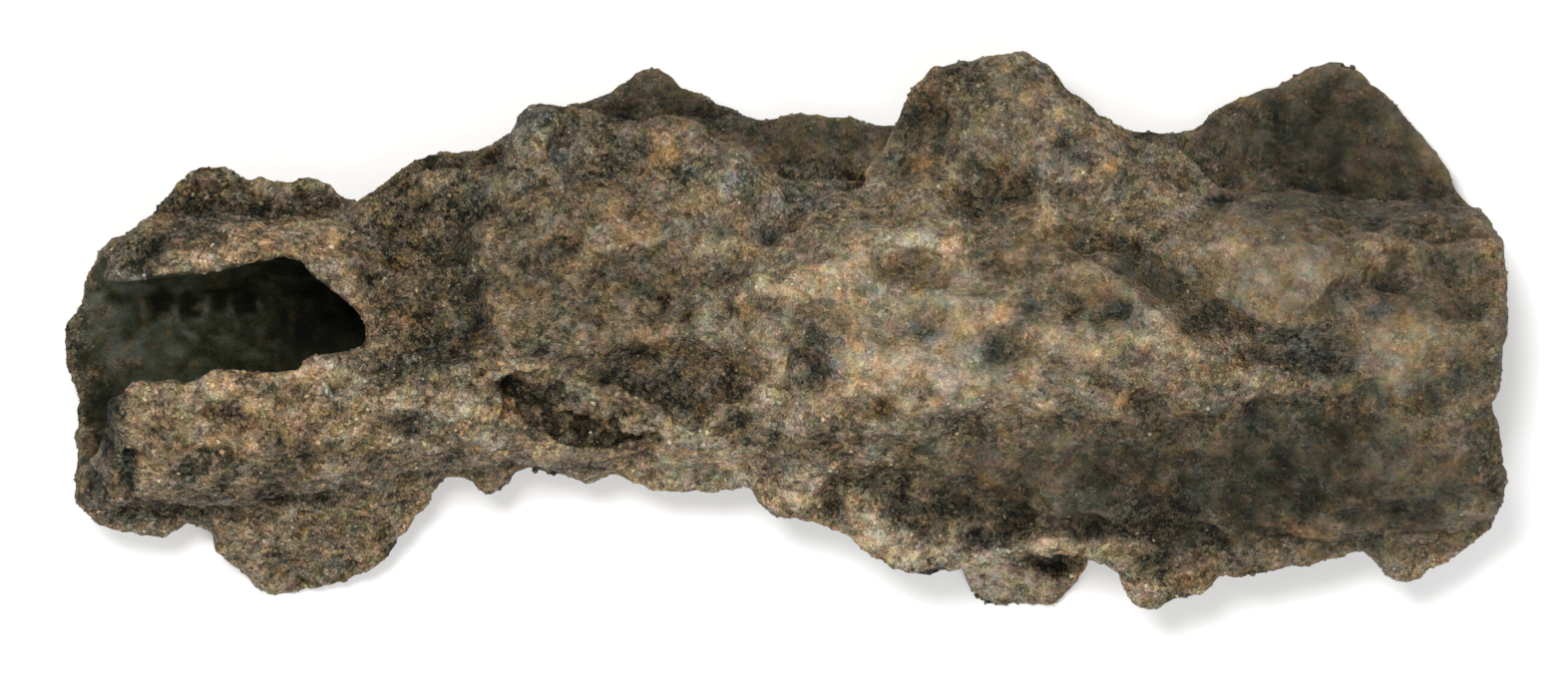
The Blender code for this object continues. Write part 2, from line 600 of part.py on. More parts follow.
def build():
    clear_scene()
    tube = round_loft("tube", TUBE, TUBE_SIDES, 0.05, 9)
    wings = [wing(name, *facts) for name, facts in WINGS.items()]
    branch = join("fulgurite", [tube, *wings])
    fuse(branch)
    sculpt(branch)
    soften(branch, POLISHING)
    cut(branch, end_cutter("open_end_cutter", OPEN_END, -60, 6.5, 13.5), "open end")
    cut(branch, end_cutter("wide_end_cutter", WIDE_END, 60, 14.6, 17.2), "wide end")
    cut(branch, gash_cutter(), "gash")
    cut(branch, prism("window_cutter", WINDOW, 8, 25), "window")
    cut(branch, round_loft("bore_cutter", BORE, BORE_SIDES, 0.12, 3), "bore")
    thin_out(branch)
    cut(branch, floor_cutter(), "floor")
    centre_all(branch)
    for face in branch.data.polygons:
        face.use_smooth = True
    branch.data.materials.append(fused_sand())


build()
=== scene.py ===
"""The looks of a fulgurite: a sandy crust with single grains on it, round a dark glassy lining.

It lies on its back, X along the tube, +Y towards the taller wings, and the camera looks down on
it. Places and sizes are in millimetres in the tables here, and in metres in the scene.
"""

import math

import bmesh
import bpy
import numpy as np
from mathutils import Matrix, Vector, noise


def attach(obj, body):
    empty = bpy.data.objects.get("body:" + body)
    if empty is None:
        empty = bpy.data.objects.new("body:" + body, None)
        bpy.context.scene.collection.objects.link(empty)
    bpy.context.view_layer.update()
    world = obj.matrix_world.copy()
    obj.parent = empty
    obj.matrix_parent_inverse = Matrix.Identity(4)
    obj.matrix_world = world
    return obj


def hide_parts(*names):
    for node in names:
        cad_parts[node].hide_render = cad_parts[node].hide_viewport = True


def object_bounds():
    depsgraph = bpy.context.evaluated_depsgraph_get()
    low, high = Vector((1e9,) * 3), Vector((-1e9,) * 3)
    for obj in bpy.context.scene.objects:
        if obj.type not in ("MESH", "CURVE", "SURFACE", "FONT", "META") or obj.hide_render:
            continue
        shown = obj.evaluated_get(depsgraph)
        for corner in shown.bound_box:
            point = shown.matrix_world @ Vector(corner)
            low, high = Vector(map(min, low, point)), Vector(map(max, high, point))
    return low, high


MM = 0.001

# The crust's mesh, and how often it and its worn parts are evened out.
CRUST_VOXEL = 0.27
CRUST_FACES = 197_000
SMOOTHING = 7
EVENING = 30
# The sand grains on it: how many in each group, and how deep their middles sink, by their radius.
GRAINS = 9_600
GRAIN_GROUPS = 3
GRAIN_RADIUS = (0.08, 0.2)
GRAIN_SINK = 0.4
SEED = 11
# Where the rim of the open end stops, and where the face towards the camera starts.
RIM_X = -43
UPPER_Z = 7.5
# How much the painted shade, also that in the hollows, changes the sand's lightness, which runs from 0 to 1.
SHADE_GAIN = 0.36
HOLLOW_SHADE_GAIN = 0.3
HOLLOW_MIDDLE = 0.45
HOLLOW_REACH = 10
CRUST_LIGHTNESS = 0.431
GRAIN_LIGHTNESS = 0.44
SCREEN_GAMMA = 2.2

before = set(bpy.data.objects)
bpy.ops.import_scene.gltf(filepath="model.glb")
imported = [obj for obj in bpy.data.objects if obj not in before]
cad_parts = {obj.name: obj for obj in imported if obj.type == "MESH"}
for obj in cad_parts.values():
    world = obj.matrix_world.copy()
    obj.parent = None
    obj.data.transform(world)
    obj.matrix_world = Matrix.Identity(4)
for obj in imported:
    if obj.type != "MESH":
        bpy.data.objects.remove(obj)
CAD_LOW, CAD_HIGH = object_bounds()
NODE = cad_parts["fulgurite"]

# The bore: x, middle y, middle z, half width, half height.
BORE = [
    (-50, -1.9, 7.3, 6.3, 4.3), (-42, -1.8, 7.4, 6.2, 4.4), (-35, -1.1, 7.4, 5.8, 4.3),
    (-28, -0.6, 7.4, 5.2, 4.1), (-20, -0.3, 7.4, 4.8, 3.9), (-8, -0.3, 7.6, 4.7, 3.9),
    (6, -0.6, 7.9, 5.1, 4.1), (20, -0.9, 8.2, 6, 4.5), (34, -1.1, 8.4, 7.1, 5), (50, -1.4, 8.4, 7.9, 5.5),
]

# Ragged patches on the upper face: x, y, half length, half width, turn in degrees, strength.
PALE = [
    # the shoulder round the window
    (-39, 6.8, 0.9, 0.7, 30, 0.35), (-36, 4.8, 1.8, 0.5, 5, 0.6), (-33.5, 5.6, 1.4, 0.7, 0, 0.4),
    (-31, 6.4, 2.2, 0.7, 0, 0.4), (-29, 5.4, 1.6, 0.8, -20, 0.55), (-28, 7, 1.5, 0.7, 0, 0.3),
    (-27, 2.6, 0.9, 2.2, 25, 0.5), (-25.4, -0.6, 0.8, 0.5, 0, 0.4), (-42.8, 1.2, 0.5, 0.5, 0, 0.4),
    (-43.5, -7.5, 0.5, 1, 0, 0.5),
    # the wall below the window
    (-40.2, -4.2, 1.1, 0.8, 0, 0.8), (-38.4, -4.6, 1.2, 0.7, 0, 0.6), (-36.6, -3.6, 0.8, 0.5, 0, 0.5),
    (-34.9, -3.5, 1.1, 0.7, 0, 0.8), (-33, -4.3, 1, 0.7, 0, 0.5), (-29, -2.6, 2.2, 0.5, 5, 1),
    (-27.2, -3, 1.3, 0.9, 0, 1.2), (-31, -2.6, 1.4, 0.4, 0, 0.5), (-40.2, -6.2, 0.6, 1.6, 10, 0.6),
    (-39.6, -8.8, 0.7, 1.4, 0, 0.5), (-38.8, -9.8, 0.6, 0.6, 0, 0.3), (-37, -5.6, 1.2, 0.7, 0, 0.35),
    (-35.4, -7, 0.6, 0.6, 0, 0.25), (-33.4, -7, 0.9, 0.6, 0, 0.5), (-33, -8, 1, 0.5, 0, 0.3),
    (-29, -5.4, 1.6, 0.6, 0, 0.35), (-27.6, -6.4, 1.6, 0.5, 0, 0.45), (-28.6, -8.6, 0.8, 0.7, 0, 0.4),
    (-25, -6.8, 1.6, 0.5, 0, 0.4), (-26.4, -4.4, 1.2, 0.8, 0, 0.25), (-22.6, -4.4, 2, 0.6, 0, 0.6),
    (-19.2, -4.8, 1.3, 0.6, -15, 1), (-21, -5.6, 1, 0.5, 0, 0.4), (-22.4, -7.2, 1.4, 0.5, 0, 0.3),
    (-17.6, -7, 1.4, 1, 0, 0.5), (-31, -13, 4.5, 2.4, 0, 0.15), (-27.6, -11, 0.8, 0.8, 0, 0.3),
    (-31.4, -12.4, 0.8, 0.8, 0, 0.25), (-33.6, -14.4, 1, 0.7, 0, 0.2),
    # the narrow middle of the tube
    (-17.6, 1.6, 1.2, 1.6, 0, 0.3), (-16.2, 2.3, 1.2, 0.5, 0, 0.35), (-21.6, 9.4, 1, 0.5, 0, 0.35),
    (-21.6, 6.2, 1, 0.6, 0, 0.2), (-18, 6.4, 1.2, 0.8, 0, 0.25), (-15, 6.6, 1, 0.5, 0, 0.3),
    (-17, 9.4, 1, 0.5, 0, 0.3), (-15.4, 10.5, 1, 1, 0, 0.15), (-12, 12.8, 1.4, 0.6, 0, 0.1),
    (-6, 12.8, 0.8, 0.5, 0, 0.35), (-8, 12.4, 2, 0.4, 0, 0.2), (-7.6, 10.9, 0.8, 0.5, 0, 0.25),
    (-8.4, 9, 0.8, 0.5, 0, 0.2), (-10.6, 7.2, 0.8, 0.8, 0, 0.25), (-5, 8.4, 1.4, 1, 0, 0.5),
    (-2.8, 7.8, 0.8, 0.8, 0, 0.35), (-0.9, 10, 0.4, 0.8, 0, 0.45), (-3.2, 11, 0.9, 0.5, 0, 0.15),
    (-8.6, 5.7, 1.4, 0.5, 0, 0.4), (-5.6, 5.2, 1.6, 0.5, 0, 0.5), (-11, 5.4, 1, 0.4, 0, 0.2),
    (-2.4, 5, 1.2, 0.8, 0, 0.35), (0.4, 4.6, 1, 0.5, 0, 0.25), (-14.6, -2.2, 2, 0.5, 0, 0.45),
    (-12.6, -2.6, 0.8, 0.5, 0, 0.5), (-17, -2.2, 1.4, 0.7, 0, 0.6), (-13, -4.2, 1, 0.6, 0, 0.2),
    (-14.6, -7.6, 0.9, 0.5, 0, 0.8), (-12, -7.9, 0.8, 0.3, 0, 0.4), (-8, -6.4, 1.4, 0.7, 0, 0.6),
    (-6.4, -6, 0.8, 1, 0, 0.8), (-7, -7.4, 1.4, 0.6, 0, 0.5), (-9, -8.7, 1.4, 0.6, 0, 0.7),
    (-6.4, -8.8, 2, 0.9, 0, 0.7), (-3.2, -8.5, 1.8, 0.7, -35, 0.8), (-4, -7.4, 1, 0.5, 0, 0.3),
    (-2, 2.4, 0.8, 0.7, 0, 0.5), (-1.6, 0.6, 0.5, 0.8, 0, 0.4), (-1, -1.6, 0.8, 0.6, 0, 0.5),
    (-0.9, -4, 0.8, 1.2, 0, 0.7), (0.8, -2.6, 0.6, 0.8, 0, 0.3), (1.6, -4.6, 1, 0.6, 0, 0.45),
    # the swell of the tube
    (-0.2, 3.2, 1.5, 0.9, 0, 0.75), (2.6, 3.6, 1.4, 0.7, 15, 0.75), (1, 2.6, 1.6, 0.5, 0, 0.6),
    (4, 4.4, 0.8, 0.4, 0, 0.7), (3.4, 2.4, 0.6, 0.6, 0, 0.5), (5.2, 4.8, 1.6, 0.6, 10, 0.8),
    (7.8, 5.8, 1.4, 0.7, 0, 0.7), (6.4, 6.6, 1, 0.5, 0, 0.4), (10.2, 6.8, 0.8, 0.6, 0, 0.6),
    (10.4, 5, 0.6, 1, 0, 0.7), (11, 3.6, 0.8, 0.8, 0, 0.5), (3.2, 5.4, 0.8, 0.4, 0, 0.4),
    (5.2, 3, 1, 0.8, 0, 0.25), (5, -1.4, 1.3, 0.9, 0, 0.7), (6.6, -2.2, 1.6, 1.2, 0, 0.75),
    (7.4, -1, 0.9, 0.8, 0, 0.65), (9.4, -1.2, 1.6, 0.8, 0, 0.7), (9.8, -2.8, 1.6, 1, 0, 0.75),
    (5.4, -3.4, 1.5, 0.7, 0, 0.6), (4.4, -0.7, 0.5, 0.4, 0, 0.6), (4.6, 0.4, 0.8, 1, 0, 0.4),
    (7, 0.8, 0.9, 1, 0, 0.5), (6, 1.4, 1, 1, 0, 0.4), (11.4, 0.2, 0.6, 0.6, 0, 0.5),
    (11.4, -2.6, 0.6, 1.2, 0, 0.6), (11.8, -3.8, 1, 1, 0, 0.6), (13.3, 1, 0.7, 0.7, 0, 0.9),
    (8, -4.8, 1, 0.6, 0, 0.25), (9.8, -4.6, 1.4, 0.5, 0, 0.45), (13.6, -5, 1, 0.6, 0, 0.4),
    (5.6, 8.6, 1, 1, 0, 0.3), (5, 7.6, 1.2, 0.6, 0, 0.25), (8.6, 10.6, 0.6, 0.5, 0, 0.45),
    (4.6, 11, 1.2, 0.35, 20, 0.4), (6.4, 11.8, 0.8, 0.4, 0, 0.35), (10.4, 9.8, 0.7, 0.7, 0, 0.3),
    (14, 15, 2.5, 1.6, 0, 0.1), (15.6, 14.6, 0.9, 0.7, 0, 0.4), (17.2, 13.4, 1.2, 0.7, 0, 0.35),
    (15.2, 13.6, 1.2, 0.6, 0, 0.2), (19.4, 12.4, 0.8, 0.6, 0, 0.25), (18.8, 9.9, 0.6, 0.5, 0, 0.5),
    (20.4, 10.3, 0.4, 0.5, 0, 0.5), (16.6, 7.6, 1, 1, 0, 0.6), (19.4, 7.8, 2, 0.8, 0, 0.6),
    (21.4, 7.6, 0.6, 0.6, 0, 0.4), (23.6, 8, 1.6, 0.9, 0, 0.45), (25.6, 8.2, 1, 0.4, 0, 0.2),
    (18, 7.2, 0.8, 0.4, 0, 0.3), (21.8, 2.4, 0.8, 0.4, 0, 0.35), (16.4, 1, 0.6, 0.5, 0, 0.3),
    (20, 3.8, 1.4, 0.3, 0, 0.25), (23.6, 0.9, 1.2, 1.2, 0, 0.7), (17, -0.4, 1.6, 0.5, 0, 0.7),
    (19.6, -1.2, 1.6, 0.6, 0, 0.9), (22, -0.6, 1.6, 0.7, 0, 0.7), (25.2, -1.2, 0.8, 0.9, 0, 0.6),
    (27.2, -1, 0.8, 0.8, 0, 0.35), (15.2, -3.2, 1.2, 1.2, 0, 0.6), (15.4, -4.6, 1.2, 0.6, 0, 0.5),
    (18, -3.4, 1, 0.8, 0, 0.3), (21.6, -2.6, 1, 0.6, 0, 0.4), (28.4, -2, 0.6, 0.5, 0, 0.7),
    (25.6, -3, 0.5, 0.6, 0, 0.5), (28.8, -3.2, 0.6, 0.4, 0, 0.4), (24, -2.2, 1, 0.6, 0, 0.3),
    # the boss near the wide end
    (27.4, 5, 1.4, 1.6, 0, 0.5), (29.8, 3.4, 1.8, 1, 0, 0.6), (32.6, 3.6, 1.4, 0.8, 0, 0.6),
    (34.4, 4.4, 0.8, 0.7, 0, 0.4), (27, 6.8, 1.2, 0.8, 0, 0.3), (29.6, 7, 0.7, 0.5, 0, 0.25),
    (31, 5, 1, 0.8, 0, 0.3), (28, 2.4, 1.4, 0.6, 0, 0.25), (30.6, 1.2, 2.2, 0.5, 0, 0.15),
    (31.4, 7.4, 0.8, 0.3, 0, 0.25), (36.8, 5.4, 0.8, 0.6, 0, 0.25), (37, 4.4, 0.5, 0.4, 0, 0.45),
    (38.6, 0.9, 0.5, 0.4, 0, 0.35), (39.6, -0.6, 2.4, 0.9, 0, 0.25), (37.6, -2, 1.6, 1.2, 0, 0.4),
    (40.4, -2.2, 1.4, 0.7, 0, 0.4), (38, -3.2, 1.2, 0.5, 0, 0.3), (36.6, -4.6, 1, 1, 0, 0.2),
    (41.6, -4.8, 1.4, 0.8, 0, 0.15), (44.2, 4.4, 0.6, 2.4, 0, 0.3), (43, 6.6, 0.7, 1, 0, 0.2),
    # the lower crest and its lobes
    (0.4, -8.6, 0.6, 0.5, 0, 0.3), (1.6, -9.4, 1, 0.7, 0, 0.6), (0.6, -10.6, 1.5, 0.6, 0, 1),
    (-1, -10, 1, 0.5, -20, 0.55), (5.4, -12.6, 1.3, 0.9, -40, 1.05), (4.6, -11.2, 0.8, 0.7, 0, 0.5),
    (7.6, -13.8, 1.3, 0.7, 0, 1.1), (9.4, -13.8, 1, 0.4, 0, 0.6), (10.4, -13, 1, 0.6, 0, 0.45),
    (16.4, -13.4, 1.6, 0.4, 0, 0.8), (19.6, -13.4, 2, 0.4, -5, 0.7), (13, -15.3, 1.7, 1.1, 0, 1.3),
    (14.6, -15.9, 1.4, 0.8, 0, 1.3), (12.6, -16, 0.6, 0.5, 0, 0.6), (15.8, -16.4, 1, 0.4, 0, 0.6),
    (21.2, -14.6, 0.5, 0.7, 0, 0.5), (22.6, -16.2, 1.2, 0.6, 0, 0.3), (25, -15.4, 0.8, 0.6, 0, 0.3),
    (25.6, -16.2, 0.8, 0.3, 0, 0.3), (28, -12.8, 0.6, 0.4, 0, 0.3), (30.4, -14.3, 2, 0.4, 0, 0.35),
    (32.6, -13, 1.2, 0.7, 0, 0.25), (34.4, -12.8, 0.5, 0.6, 0, 0.5), (33.6, -11.8, 0.6, 0.4, 0, 0.35),
    (38.4, -12.8, 1.4, 0.4, -10, 0.35), (39.8, -14, 1.6, 0.7, 0, 0.15), (42.6, -11.6, 1, 0.5, 30, 0.35),
    (43.6, -10.8, 0.6, 0.6, 0, 0.4), (23.4, -9.8, 1, 0.5, 0, 0.1), (41.2, -8.6, 1, 0.5, 0, 0.15),
]
# Darker patches: partly the glass's own dark colour, partly painted shade and painted shadows.
DARK_AND_SHADE = [
    # the shoulder and the left rim, with a painted shadow in the slot at the open end
    (-36.5, 8.6, 2.5, 1.2, 10, 0.5), (-34.5, 7.6, 3, 0.7, 0, 0.35), (-31, 8.6, 3, 0.6, 0, 0.3),
    (-27.5, 8.4, 1.6, 0.5, 0, 0.4), (-40.3, 5.2, 1.2, 1, 0, 0.75), (-37.5, 6.2, 1, 0.8, 0, 0.35),
    (-26.6, 5, 1, 0.8, 0, 0.2), (-25.6, 6.8, 1.2, 1, 0, 0.3), (-43.6, 1, 1.8, 4, 0, 0.5),
    (-42.6, -4.6, 1.2, 1.1, 0, 1.3), (-42.4, -6.6, 0.6, 1.2, 0, 1.2), (-43.3, -5.8, 0.6, 0.7, 0, 0.4),
    (-30.3, 8.4, 0.4, 0.4, 0, 0.8),
    # the wall below the window, with painted shade in its pits and a painted shadow along the crease
    (-42.5, -9.5, 1.5, 1.6, 0, 0.25), (-41.2, -8.2, 0.5, 1.6, 0, 0.5), (-40.9, -8, 0.4, 0.4, 0, 1),
    (-40.8, -9.6, 0.4, 1.2, 0, 0.6), (-39, -11.4, 1.4, 0.9, 0, 0.55), (-38.8, -6.6, 0.7, 0.9, 0, 0.4),
    (-37, -8.4, 0.8, 0.7, 0, 0.55), (-35, -9.4, 1, 0.7, 0, 0.45), (-30.8, -6.2, 0.7, 0.8, 0, 0.3),
    (-30, -7.4, 0.8, 0.5, 0, 0.75), (-31, -8.6, 1.2, 0.9, 0, 0.55), (-30.6, -9.4, 0.6, 0.5, 0, 0.7),
    (-31.8, -10.4, 1.6, 0.5, 0, 0.75), (-29.4, -10.6, 1.2, 0.6, 0, 0.7), (-23.2, -5.7, 1.2, 0.5, 0, 0.6),
    (-25.6, -7.9, 0.5, 0.4, 0, 0.6), (-20.4, -7.8, 0.6, 0.5, 0, 0.45), (-27.6, -7.2, 0.6, 0.4, 0, 0.3),
    (-22.6, -2.2, 3.2, 0.3, 6, 0.6), (-18, -8.6, 1, 0.7, 0, 0.25), (-34, -11.2, 1.5, 1, 0, 0.15),
    (-36.4, -10.6, 1, 0.6, 0, 0.3), (-28, -15.4, 1.6, 0.4, 20, 0.4), (-36, -5, 0.6, 0.4, 0, 0.3),
    # the saddle and the narrow middle, with painted shade in the saddle, pits, gash and hollow under the
    # ledge
    (-22.5, 1, 3.4, 2.6, 0, 0.45), (-19.2, 1.4, 0.6, 2, 0, 0.7), (-24.2, 4.2, 1, 0.5, 0, 0.45),
    (-21.6, 4, 2, 0.8, 0, 0.5), (-18.4, -0.4, 1.2, 0.5, 0, 0.6), (-21, -1, 2, 0.5, 0, 0.5),
    (-22, 10.6, 1.2, 0.5, 0, 0.65), (-18.2, 10.9, 1, 0.8, 0, 0.5), (-24.4, 8.4, 1, 1, 0, 0.45),
    (-24.4, 6.6, 1.4, 1, 0, 0.35), (-25.6, 8.6, 0.8, 0.6, 0, 0.4), (-22.4, 8.2, 1, 0.8, 0, 0.3),
    (-20.6, 7.4, 0.8, 1, 0, 0.25), (-19, 8.4, 1, 0.8, 0, 0.25), (-22, 5.2, 3, 0.8, 0, 0.4),
    (-15.8, 4.2, 2, 0.5, 0, 0.5), (-11, 10.4, 0.8, 1.1, 0, 0.35), (-6.4, 9.6, 0.5, 1, 0, 0.4),
    (-2.6, 9.4, 1.2, 0.9, 0, 0.2), (-8.8, 2.8, 1, 0.7, 0, 0.4), (-7.6, 2.1, 0.45, 0.4, 0, 0.9),
    (-6.2, 0.8, 0.5, 0.5, 0, 0.8), (-5, 3.4, 2, 0.9, 0, 0.25), (-3.4, 1.3, 0.6, 0.5, 0, 0.25),
    (-12.6, 0.6, 1.6, 1, 0, 0.4), (-0.8, 1.2, 0.6, 0.9, 0, 0.8), (-14.4, -1.2, 2.4, 0.5, 0, 0.4),
    (-13.4, 5.8, 0.8, 0.5, 0, 0.25), (-10, 3.6, 2, 0.5, 0, 0.2), (-8.6, -1.4, 3, 0.6, 0, 0.55),
    (-5, -1.8, 2, 1, 0, 0.45), (-3.2, -3.6, 0.9, 1.6, 0, 0.6), (-6.6, -3.8, 1.4, 1.1, 0, 0.7),
    (-10.5, -3, 1.8, 0.9, 0, 0.5), (-5, -4.6, 0.8, 0.6, 0, 0.5), (-2.8, -5.2, 0.9, 0.7, 0, 0.6),
    (-9.6, -4.8, 1.6, 0.5, 0, 0.4), (-12, -8.5, 1, 0.3, 0, 0.5), (-17.4, -3.2, 0.8, 0.6, -30, 0.6),
    (-15.8, -4.2, 1.4, 0.8, -30, 0.55), (-14.2, -5.8, 1.6, 0.9, -30, 0.55),
    (-12.4, -6.4, 1.6, 0.9, 0, 0.55), (-9.8, -6.9, 1.6, 0.5, 0, 0.65), (-15.4, -6.2, 0.9, 0.6, 0, 0.5),
    (-17.4, -4.9, 0.8, 0.5, 0, 0.35),
    # the back wing's left half, behind the tube
    (-8.5, 15, 3, 1.4, 0, 0.8), (-11.5, 14.4, 1.2, 0.4, 10, 0.6), (-4.5, 14, 2.5, 0.8, -15, 0.75),
    (-10.4, 13.4, 0.8, 0.35, 0, 0.8), (-5.8, 13.6, 1.6, 0.5, 0, 0.4), (-2.5, 12.6, 1.4, 0.8, 0, 0.7),
    (2, 12.4, 4, 0.9, 0, 0.65), (1, 10.4, 2, 0.5, 0, 0.6), (3, 10.5, 1.2, 0.5, 0, 0.5),
    (5, 11.8, 1.4, 0.6, 20, 0.45), (0.6, 9.6, 1.6, 0.5, 0, 0.4), (3.2, 9.2, 0.6, 0.5, 0, 0.35),
    (4.3, 9.5, 0.5, 0.5, 0, 0.9), (-0.8, 5.8, 0.8, 0.5, 0, 0.45), (0.4, 8.2, 2, 0.9, 0, 0.1),
    # the swell of the tube, with painted shade in its pits
    (2.2, -0.6, 1.2, 0.9, 0, 0.5), (1.4, -1.2, 0.7, 0.6, 0, 0.35), (2.4, -2.5, 0.8, 0.5, 0, 0.65),
    (2.8, -1.6, 0.6, 0.7, 0, 0.5), (0, -0.2, 0.4, 0.5, 0, 0.4), (0.2, -3.8, 0.5, 0.5, 0, 0.7),
    (3, 0.6, 0.7, 0.6, 0, 0.3), (8, 3.9, 1.3, 0.35, 10, 0.5), (7.4, 3.2, 0.8, 0.3, -20, 0.6),
    (9.2, 0.9, 1.1, 0.5, 0, 0.3), (8.9, -0.2, 1, 0.35, 0, 0.5), (12.9, -1.6, 0.9, 0.7, 0, 0.5),
    (12.4, 1.4, 0.5, 0.5, 0, 0.5), (13.8, 4, 1, 0.5, 0, 0.45), (6, -4.9, 0.8, 0.7, 0, 0.7),
    (0, -7.4, 1.2, 0.6, 0, 0.5), (2.4, -6.6, 1, 0.8, 0, 0.6), (2.9, -10.9, 0.4, 0.4, 0, 1),
    (3.8, -9.3, 1.4, 0.5, 0, 0.35), (8.2, 13.2, 1.3, 1.7, 0, 0.75), (9.4, 12.8, 1.2, 1.2, 0, 0.5),
    (11, 16.2, 1, 0.4, 0, 0.6), (10, 11.4, 1.2, 0.6, 0, 0.35), (9.4, 10.3, 0.5, 0.4, 0, 0.5),
    (12.6, 8.6, 1.6, 0.7, 0, 0.5), (14.2, 9.4, 1, 1, 0, 0.4), (11.6, 7.6, 1, 0.4, 0, 0.45),
    (12, 10.6, 1, 0.6, 0, 0.3), (16.8, 11.6, 1.6, 0.5, 0, 0.45), (18.6, 11, 0.8, 0.5, 0, 0.25),
    (18.6, 14.6, 1.4, 0.3, -40, 0.6), (15.4, 3.8, 1.6, 0.5, 0, 0.5), (18, 5.6, 3, 0.7, 0, 0.35),
    (15, 4.9, 1.6, 0.6, 0, 0.25), (22.4, 5, 1.6, 1, 0, 0.4), (22, 3.6, 1.4, 0.6, 0, 0.55),
    (24.4, 4.2, 1.2, 0.8, 0, 0.4), (24.6, 3, 0.8, 0.6, 0, 0.4), (19.6, 2, 1, 0.4, 0, 0.35),
    (15.4, 1.2, 0.6, 0.6, 0, 0.4), (18.3, 1.2, 0.5, 0.5, 0, 0.35), (20.9, 1.3, 1, 0.5, 10, 0.45),
    (19.6, -2.8, 1, 0.5, 0, 0.5), (25.4, 0.4, 0.9, 0.8, 0, 0.35), (9.2, -14.4, 0.5, 0.4, 0, 0.35),
    # the boss and the wide end
    (27.3, 8.1, 0.8, 0.3, 0, 0.5), (34.6, 7, 1.5, 0.4, 0, 0.35), (30.4, 7.8, 1.6, 0.25, 0, 0.5),
    (35, 6, 0.5, 0.5, 0, 0.35), (36.6, 3.9, 0.8, 0.3, 0, 0.45), (26.4, 0.8, 0.8, 0.8, 0, 0.45),
    (28.6, 0.2, 1.8, 0.4, 0, 0.45), (35.4, 3, 1, 0.5, 0, 0.25), (39, 6.2, 1.4, 0.8, 0, 0.5),
    (41.4, 5, 1.6, 2, 0, 0.45), (38.4, 3, 2, 0.8, 0, 0.45), (41.6, 3.2, 1.2, 0.8, 0, 0.5),
    (42.6, 1.4, 1, 1.6, 0, 0.35), (40.6, 8.6, 1.6, 1, 0, 0.65), (41, 0.8, 0.5, 0.4, 0, 0.4),
    (42.6, -2.8, 1.4, 0.5, 0, 0.45), (30.8, -1.9, 1.2, 0.8, 0, 0.45), (33.6, -1.8, 1.8, 0.8, 0, 0.45),
    (33.4, -0.4, 1.4, 0.7, 0, 0.4), (31.6, -0.4, 1, 0.5, 0, 0.45), (29.6, -1.4, 0.5, 0.5, 0, 0.35),
    (34.6, -3.6, 1.2, 0.6, 0, 0.25), (35, -5, 0.8, 0.8, 0, 0.35), (37, 1.3, 1, 0.5, 0, 0.2),
    # the back wing's right half
    (30, 13, 3.4, 2, 0, 0.6), (35.6, 12.6, 3, 2.4, 0, 0.65), (34, 9.6, 3, 1.4, 0, 0.65),
    (32, 11.4, 2, 1.4, 0, 0.6), (28.4, 11, 1.4, 1.2, 0, 0.5), (27, 13.6, 0.8, 0.4, 0, 0.55),
    (27, 9.6, 1.4, 0.8, 0, 0.35), (25, 11, 1.6, 0.8, 0, 0.2), (23, 12.2, 1.6, 0.3, 0, 0.7),
    (34, 15, 1.2, 1, 60, 0.4), (38.6, 10.4, 1.6, 1.2, 0, 0.65),
    # the lower flank, darker as painted shade where it faces away from the light, and a painted shadow under
    # the crest
    (7.8, -10, 1.2, 0.8, 0, 0.75), (6, -9, 1.4, 1, 0, 0.5), (9, -11.4, 2.4, 0.8, 0, 0.7),
    (13, -12.9, 2.2, 0.7, 0, 1), (12, -10.4, 2.4, 1.2, 0, 0.7), (9, -8, 2, 1, 0, 0.35),
    (12, -7, 1.6, 1.4, 0, 0.4), (4.4, -6.4, 1.4, 0.6, 0, 0.25), (10, -6, 1.4, 0.5, 0, 0.25),
    (34.6, -7, 1.8, 2.6, 0, 0.75), (37.4, -7.2, 1.2, 1, 0, 0.5), (30, -7.6, 3, 2, 0, 0.6),
    (26, -7.4, 3, 1.6, 0, 0.5), (22, -8, 2.4, 1.6, 0, 0.6), (18.8, -9.6, 2.4, 1.8, 0, 0.7),
    (23.6, -11, 3, 1.6, 0, 0.8), (29, -11, 3, 1.6, 0, 0.7), (35, -10.4, 3, 1.6, 0, 0.75),
    (38.8, -11.2, 2, 1, 0, 0.75), (20, -12, 3, 1, 0, 0.75), (26, -13, 2, 0.6, 0, 0.55),
    (15.6, -8, 1.2, 2, 0, 0.35), (14.6, -10.6, 1.2, 2, 0, 0.6), (28.6, -5, 1.4, 0.8, 0, 0.35),
    (23, -6, 4, 1, 0, 0.2), (31, -5, 1.4, 0.8, 0, 0.25), (42, -8, 1.8, 3, 0, 0.2),
    (44.2, -9.4, 0.6, 0.8, 0, 0.5), (43.4, -8, 0.6, 1, 0, 0.35), (16.8, -14.7, 1.3, 0.5, 0, 1.1),
    (23.4, -14.4, 1.2, 1, 0, 0.75), (26.4, -15.2, 0.7, 0.4, 0, 0.5), (36.8, -13, 0.8, 0.6, 0, 0.45),
]
